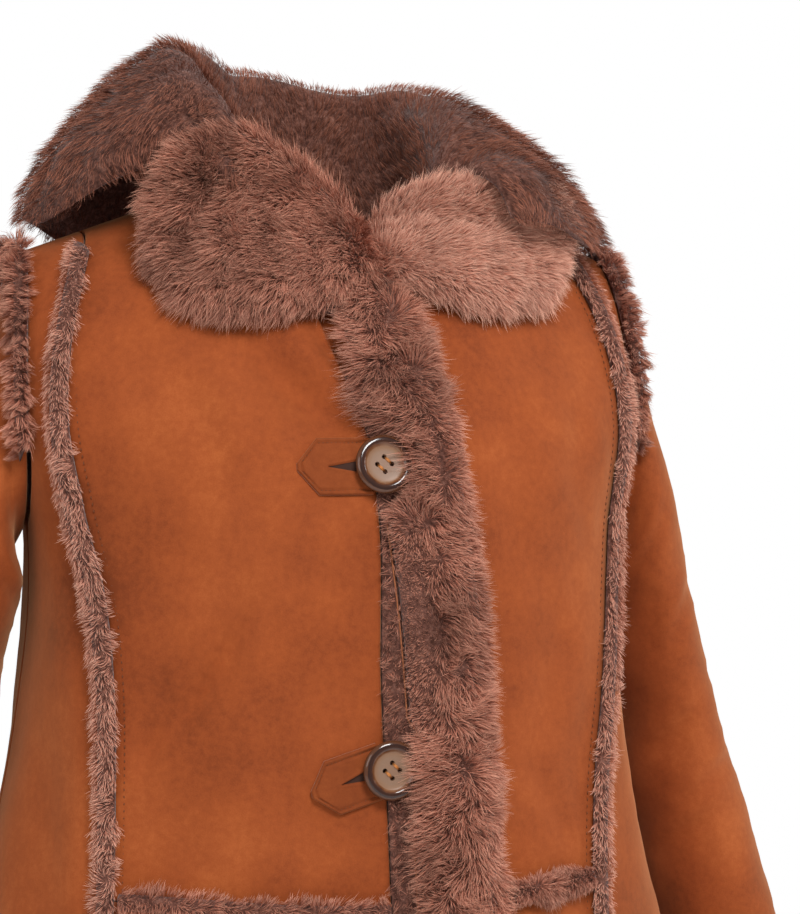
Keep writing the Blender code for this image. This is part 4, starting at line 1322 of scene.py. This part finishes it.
def collar_wool(kind, points, away, seed):
    """Short, flowing wool, combed down the leaf."""
    at, out, round_neck, down_leaf, _, column = scatter(points, away, kind, seed)
    sway = wander(at, 0.05, seed + 1)[:, None]
    comb = down_leaf * 0.9 + round_neck * 0.55 * sway
    length, lean, tint = habit(kind, at, (seed + 2, seed + 3, seed + 4))
    length = length * mix(0.7, 1, eased((column - 0.25) / 0.3))
    tint = tint + 0.20 * wander(at, 0.06, seed)
    return wool(kind + "_wool", kind, at, out, comb, length, lean, tint, seed + 5)


# Which way the lapels' strands lie.
LAPEL_FLOW = {
    # side: (x, drop, toward x, toward drop)
    "right": (
        (-0.118, 0.015, -1.0, 0.2), (-0.118, 0.050, -0.8, 0.7), (-0.095, 0.085, -0.4, 1.0),
        (-0.105, -0.010, -0.9, -0.4), (-0.072, -0.010, -0.7, 0.1), (-0.030, 0.000, -0.7, -0.7),
        (-0.085, -0.024, -0.7, -0.5),
        (-0.030, 0.030, -1.0, 0.30), (-0.030, 0.060, -0.8, 0.8), (-0.062, 0.040, -0.9, 0.6),
        (-0.062, 0.085, -0.5, 1.0), (0.000, 0.050, -0.8, 0.6),
    ),
    "left": (
        (0.030, 0.030, 0.3, -0.6), (0.045, 0.055, 0.9, 0.4), (0.050, 0.080, 0.5, 0.9),
        (0.080, 0.040, 1.0, 0.15), (0.080, 0.075, 0.7, 0.7), (0.080, 0.008, 0.6, -0.8),
        (0.120, 0.045, 0.9, 0.5), (0.140, 0.070, 0.5, 0.9), (0.120, 0.012, 1.0, -0.3),
        (0.100, 0.088, 0.4, 1.0),
    ),
}
LAPEL_GROOVES = {
    # side: (from x, from drop, to x, to drop, width, depth, bow)
    "right": (
        (-0.066, -0.020, -0.098, 0.074, 0.0080, 0.0075, -0.006),
        (-0.020, 0.020, -0.075, 0.060, 0.0060, 0.0022, 0.006),
    ),
    "left": (
        (0.030, 0.050, 0.100, 0.020, 0.0080, 0.0026, -0.008),
        (0.060, 0.080, 0.120, 0.060, 0.0070, 0.0022, 0.006),
    ),
}


LAPEL_POINTS = 49
LAPEL_SHADE = {"right": 3.2, "left": 0.0}  # how fast the tint grows with x


def flowing(at, table):
    """The direction of the nearest flow lines at each point."""
    total = np.zeros((len(at), 3))
    for x, drop, toward_x, toward_drop in table:
        near = 1 / ((at[:, 0] - x) ** 2 + (at[:, 2] + drop) ** 2 + 0.0001) ** 1.5
        total += near[:, None] * unit(np.array([toward_x, 0, -toward_drop]))
    return unit(total)


def make_lapels():
    """Each lapel is a rounded leaf, laid on the front and standing straight up past its slope."""
    for side, (middle_x, middle_drop, wide, high, turn, power) in LAPELS.items():
        u, v = np.meshgrid(np.linspace(-1, 1, LAPEL_POINTS), np.linspace(-1, 1, LAPEL_POINTS))
        size = np.maximum(np.abs(u), np.abs(v))
        stretch = size / np.maximum((np.abs(u) ** power + np.abs(v) ** power) ** (1 / power), 1e-9)
        u, v = u * stretch * 0.93, v * stretch * 0.93
        turn = math.radians(turn)
        tail_x, tail_drop, tail_thin = LAPEL_TAILS[side]
        tail = eased((math.copysign(1, tail_x) * u + 0.1) / 1.1)
        v = v * (1 - tail_thin * tail)
        x = middle_x + wide * u * math.cos(turn) - high * v * math.sin(turn) + tail_x * tail
        drop = middle_drop + wide * u * math.sin(turn) + high * v * math.cos(turn)
        drop = drop + tail_drop * tail
        laid = np.maximum(drop, LAPEL_STAND - ridge(x))
        up = np.array([0, -LAPEL_LEAN, 1]) * (laid - drop)[..., None]
        crown = 0.15 + 0.85 * np.sqrt(1 - np.clip(size, 0, 1) ** 4)
        base = place(x, laid, LAPEL_LIFT) + up
        puff = 0.66 * LAPEL_THICK * crown + creased(LAPEL_GROOVES[side], x, drop) * crown
        puff = puff + 0.0016 * wander(base, 0.03, 90) * crown
        outer = place(x, laid, LAPEL_LIFT + np.maximum(puff, 0.002)) + up
        name, number = "lapel_" + side, {"right": 92, "left": 96}[side]
        at, out, _, across, row, column = scatter(outer, outer - base, name, 91)
        comb = flowing(at, LAPEL_FLOW[side])
        comb = comb + 0.35 * across * wander(at, 0.02, number)[:, None]
        rim = np.maximum(np.abs(2 * row - 1), np.abs(2 * column - 1))
        length, lean, tint = habit(name, at, (number + 1, number + 2, number + 3))
        lean = lean - 0.15 * rim
        tint = tint + LAPEL_SHADE[side] * at[:, 0]
        strands = wool(name + "_wool", name, at, out, comb, length, lean, tint, number + 4)
        trim(name, outer, base)


# The fastenings

TAB_INSET, TAB_GROOVE, TAB_ROLL = 0.0030, 0.0011, 0.0012
TAB_GRID = (72, 45)
TAB_STITCH_FROM, TAB_STITCH_SPACING = 0.004, 0.0026
TAB_STITCH_LONG, TAB_STITCH_WIDE = 0.0017, 0.0007
SLIT_FROM, SLIT_TO, SLIT_HIGH, SLIT_ROWS = 0.0190, 0.0460, 0.0052, 0.2


def tab_half(along):
    """Half the width of a buttonhole's patch, from its tip along to the button."""
    return TAB_WIDE / 2 * np.clip(0.12 + 0.88 * along / TAB_POINT, 0, 1)


def tab_place(number, along, aside, lift):
    """A point on a buttonhole's patch."""
    drop, tilt = BUTTON_DROPS[number - 1], math.radians(TAB_TILTS[number - 1])
    u = along - TAB_LONG + float(edge_x(drop)) - 0.001
    x = u * math.cos(tilt) + aside * math.sin(tilt)
    at = drop - u * math.sin(tilt) + aside * math.cos(tilt)
    return place(x, at, lift)


def make_fastenings():
    for number in range(1, len(BUTTON_DROPS) + 1):
        make_tab(number)
        make_button(number)


def make_tab(number):
    """A stitched patch of suede with the buttonhole's slit in it."""
    along = (np.linspace(0, 1, TAB_GRID[0]) * (TAB_LONG - 0.001))[None, :]
    across = np.linspace(-1, 1, TAB_GRID[1])[:, None]
    half = tab_half(along)
    reach = np.maximum(SLIT_HIGH * (along - SLIT_FROM) / (SLIT_TO - SLIT_FROM), 1e-5)
    past = (np.abs(across) - SLIT_ROWS) / (1 - SLIT_ROWS)
    aside = np.where(past < 0, np.abs(across) / SLIT_ROWS * reach, mix(reach, half, past))
    aside = aside * np.sign(across)
    edge = np.minimum(half - np.abs(aside), along + 0 * aside)
    outline = np.exp(-(((edge - TAB_INSET) / 0.0007) ** 2))
    inside = (past < 0) & (along > SLIT_FROM)
    lip = np.exp(-(((np.abs(aside) - reach - 0.0009) / 0.0007) ** 2)) * (along > SLIT_FROM)
    round_off = TAB_ROLL - np.sqrt(TAB_ROLL**2 - np.clip(TAB_ROLL - edge, 0, TAB_ROLL) ** 2)
    base = 1.5 * GAP
    lift = base + TAB_THICK - round_off - TAB_GROOVE * outline + 0.0005 * lip
    puffed = 0.0006 * np.exp(-(((edge - TAB_INSET / 2) / 0.0011) ** 2))
    lift = np.where(inside, base + 0.0003, lift + puffed)
    outer = tab_place(number, along + 0 * aside, aside, lift)
    lower = tab_place(number, along + 0 * aside, aside, np.full_like(lift, base - 0.0002))
    node = f"buttonhole_tab_{number}"
    obj = shell(node + "_suede", outer, lower, (TAB_SUEDE, TAB_SUEDE, RAW_EDGE, SLIT))
    rows, columns = lift.shape
    # The quads inside the slit take the near-black painted shadow.
    quads_inside = (inside[:-1, :-1] & inside[1:, 1:]).ravel()
    marks = np.zeros(len(obj.data.polygons), dtype=np.int32)
    obj.data.polygons.foreach_get("material_index", marks)
    marks[: (rows - 1) * (columns - 1)][quads_inside] = 3
    obj.data.polygons.foreach_set("material_index", marks)
    declare(node)
    for way in (-1, 1):
        path = np.arange(TAB_STITCH_FROM, TAB_LONG - TAB_STITCH_FROM, TAB_STITCH_SPACING)
        off = way * (tab_half(path) - TAB_INSET)
        path, off = path[np.abs(off) > 0.0004], off[np.abs(off) > 0.0004]
        level_lift = np.full(len(path), base + TAB_THICK - TAB_GROOVE * 0.6)
        at = tab_place(number, path, off, level_lift)
        out = unit(tab_place(number, path, off, level_lift + 0.001) - at)
        stitches(
            f"{node}_stitches_{'upper' if way < 0 else 'lower'}", at,
            unit(np.gradient(at, axis=0)), out, TAB_STITCH_LONG, TAB_STITCH_WIDE, STITCH,
        )


THREAD_STEP, THREAD_WIDE = 0.0005, 0.0009
BUTTON_PROFILE = (
    # share of the radius, share of the thickness
    (0.00, 0.56), (0.30, 0.56), (0.46, 0.58), (0.58, 0.63), (0.64, 0.70), (0.68, 0.84),
    (0.72, 0.95), (0.78, 1.00), (0.86, 0.99), (0.93, 0.90), (0.98, 0.74), (1.00, 0.58),
    (0.99, 0.36), (0.94, 0.16), (0.84, 0.04), (0.70, 0.00), (0.00, 0.00),
)


def object_of(bm, name):
    """A bmesh as an object in the scene."""
    mesh = bpy.data.meshes.new(name)
    bm.to_mesh(mesh)
    bm.free()
    obj = bpy.data.objects.new(name, mesh)
    bpy.context.scene.collection.objects.link(obj)
    return obj


def drill(obj, turn):
    """Cuts one of a button's holes, this turn round its middle."""
    bm = bmesh.new()
    bmesh.ops.create_cone(
        bm, cap_ends=True, segments=16, radius1=BUTTON_HOLE / 2, radius2=BUTTON_HOLE / 2,
        depth=3 * BUTTON_THICK,
    )
    middle = Vector((math.cos(turn), math.sin(turn), 0)) * BUTTON_HOLE_RING
    bmesh.ops.translate(bm, verts=bm.verts, vec=middle + Vector((0, 0, BUTTON_THICK / 2)))
    cutter = object_of(bm, "hole")
    obj.modifiers.new("Hole", "BOOLEAN").object = cutter
    return cutter


def make_button(number):
    """A turned button with a raised rim and four holes, sewn on with two bars of thread."""
    bm = bmesh.new()
    verts = [
        bm.verts.new((BUTTON_ACROSS / 2 * out, 0, BUTTON_THICK * up)) for out, up in BUTTON_PROFILE
    ]
    edges = [bm.edges.new(pair) for pair in zip(verts, verts[1:])]
    bmesh.ops.spin(
        bm, geom=verts + edges, axis=(0, 0, 1), cent=(0, 0, 0), angle=2 * math.pi, steps=56,
        use_merge=True,
    )
    bmesh.ops.remove_doubles(bm, verts=bm.verts, dist=1e-6)
    bmesh.ops.recalc_face_normals(bm, faces=bm.faces)
    obj = object_of(bm, f"button_{number}_turned")
    cutters = [drill(obj, math.pi / 2 * quarter) for quarter in range(4)]
    bpy.context.view_layer.update()
    drilled = bpy.data.meshes.new_from_object(
        obj.evaluated_get(bpy.context.evaluated_depsgraph_get())
    )
    obj.modifiers.clear()
    obj.data = drilled
    for cutter in cutters:
        bpy.data.objects.remove(cutter, do_unlink=True)
    drilled.shade_smooth()
    drilled.set_sharp_from_angle(angle=math.radians(50))
    drilled.materials.clear()
    drilled.materials.append(HORN)
    drop = BUTTON_DROPS[number - 1]
    down = down_of(BUTTON_X, drop)
    away = Vector(outward(across_of(BUTTON_X, down), down, -1))
    obj.location = Vector(place(BUTTON_X, drop, BUTTON_LIFT))
    obj.rotation_euler = away.to_track_quat("Z", "Y").to_euler()
    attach(obj, "root")
    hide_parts(f"button_{number}")
    bpy.context.view_layer.update()
    sew(number, obj.matrix_world.copy(), np.array(away))


def sew(number, placed, away):
    """Two bars of three threads each, between a button's holes."""
    long = math.sqrt(2) * BUTTON_HOLE_RING
    high = BUTTON_THICK * BUTTON_PROFILE[0][1] + THREAD_STEP
    across = [
        way * long / 2 + step for way in (-1, 1) for step in (-THREAD_STEP, 0, THREAD_STEP)
    ]
    ends = np.array([1, 1, 0]) / math.sqrt(2) * np.array(across)[:, None] + np.array([0, 0, high])
    turned = np.array(placed.to_3x3())
    at = ends @ turned.T + np.array(placed.translation)
    along = np.tile(turned @ np.array([1, -1, 0]) / math.sqrt(2), (len(at), 1))
    out = np.tile(away, (len(at), 1))
    stitches(f"button_{number}_thread", at, along, out, long, THREAD_WIDE, THREAD)


# The stage

def make_stage():
    bpy.ops.mesh.primitive_circle_add(
        vertices=96, radius=FLOOR_RADIUS, fill_type="NGON", location=(0, 0, -FLOOR_DROP)
    )
    floor = bpy.context.object
    floor.name = "floor"
    pale = plain("floor_pale", {"Base Color": (0.86, 0.86, 0.85, 1), "Roughness": 0.8})
    floor.data.materials.append(pale)
    for name, at, power, size in LIGHTS:
        lamp = bpy.data.lights.new(name, "AREA")
        lamp.energy = power
        lamp.size = size
        obj = bpy.data.objects.new(name, lamp)
        obj.location = at
        obj.rotation_euler = (Vector(LIT_AT) - Vector(at)).to_track_quat("-Z", "Y").to_euler()
        bpy.context.scene.collection.objects.link(obj)
    world = bpy.data.worlds.new("studio")
    world.use_nodes = True
    nodes, links = world.node_tree.nodes, world.node_tree.links
    light, seen = nodes["Background"], nodes.new("ShaderNodeBackground")
    for white, strength in ((light, AMBIENT), (seen, 1.0)):
        white.inputs["Color"].default_value = (1, 1, 1, 1)
        white.inputs["Strength"].default_value = strength
    chosen = nodes.new("ShaderNodeMixShader")
    rays = nodes.new("ShaderNodeLightPath")
    links.new(rays.outputs["Is Camera Ray"], chosen.inputs[0])
    links.new(light.outputs[0], chosen.inputs[1])
    links.new(seen.outputs[0], chosen.inputs[2])
    links.new(chosen.outputs[0], nodes["World Output"].inputs["Surface"])
    bpy.context.scene.world = world
    bpy.context.scene.view_settings.view_transform = "Standard"


def make_camera():
    turn, rise = CAMERA_TURN, CAMERA_RISE
    right = Vector((math.cos(turn), math.sin(turn), 0))
    back = Vector((math.sin(turn), -math.cos(turn), 0)) * math.cos(rise)
    back = back + Vector((0, 0, math.sin(rise)))
    target = right * CAMERA_ASIDE + Vector((0, 0, -CAMERA_DROP))
    lens = bpy.data.cameras.new("camera")
    lens.sensor_fit = "HORIZONTAL"
    lens.sensor_width = 36
    lens.lens = lens.sensor_width * CAMERA_AWAY / FRAME_WIDE
    lens.clip_start = 0.05
    camera = bpy.data.objects.new("camera", lens)
    camera.location = target + back * CAMERA_AWAY
    camera.rotation_euler = back.to_track_quat("Z", "Y").to_euler()
    bpy.context.scene.collection.objects.link(camera)
    bpy.context.scene.camera = camera


make_camera()
make_stage()
make_panels()
make_sleeves()
make_trims()
make_collar()
make_lapels()
make_fastenings()
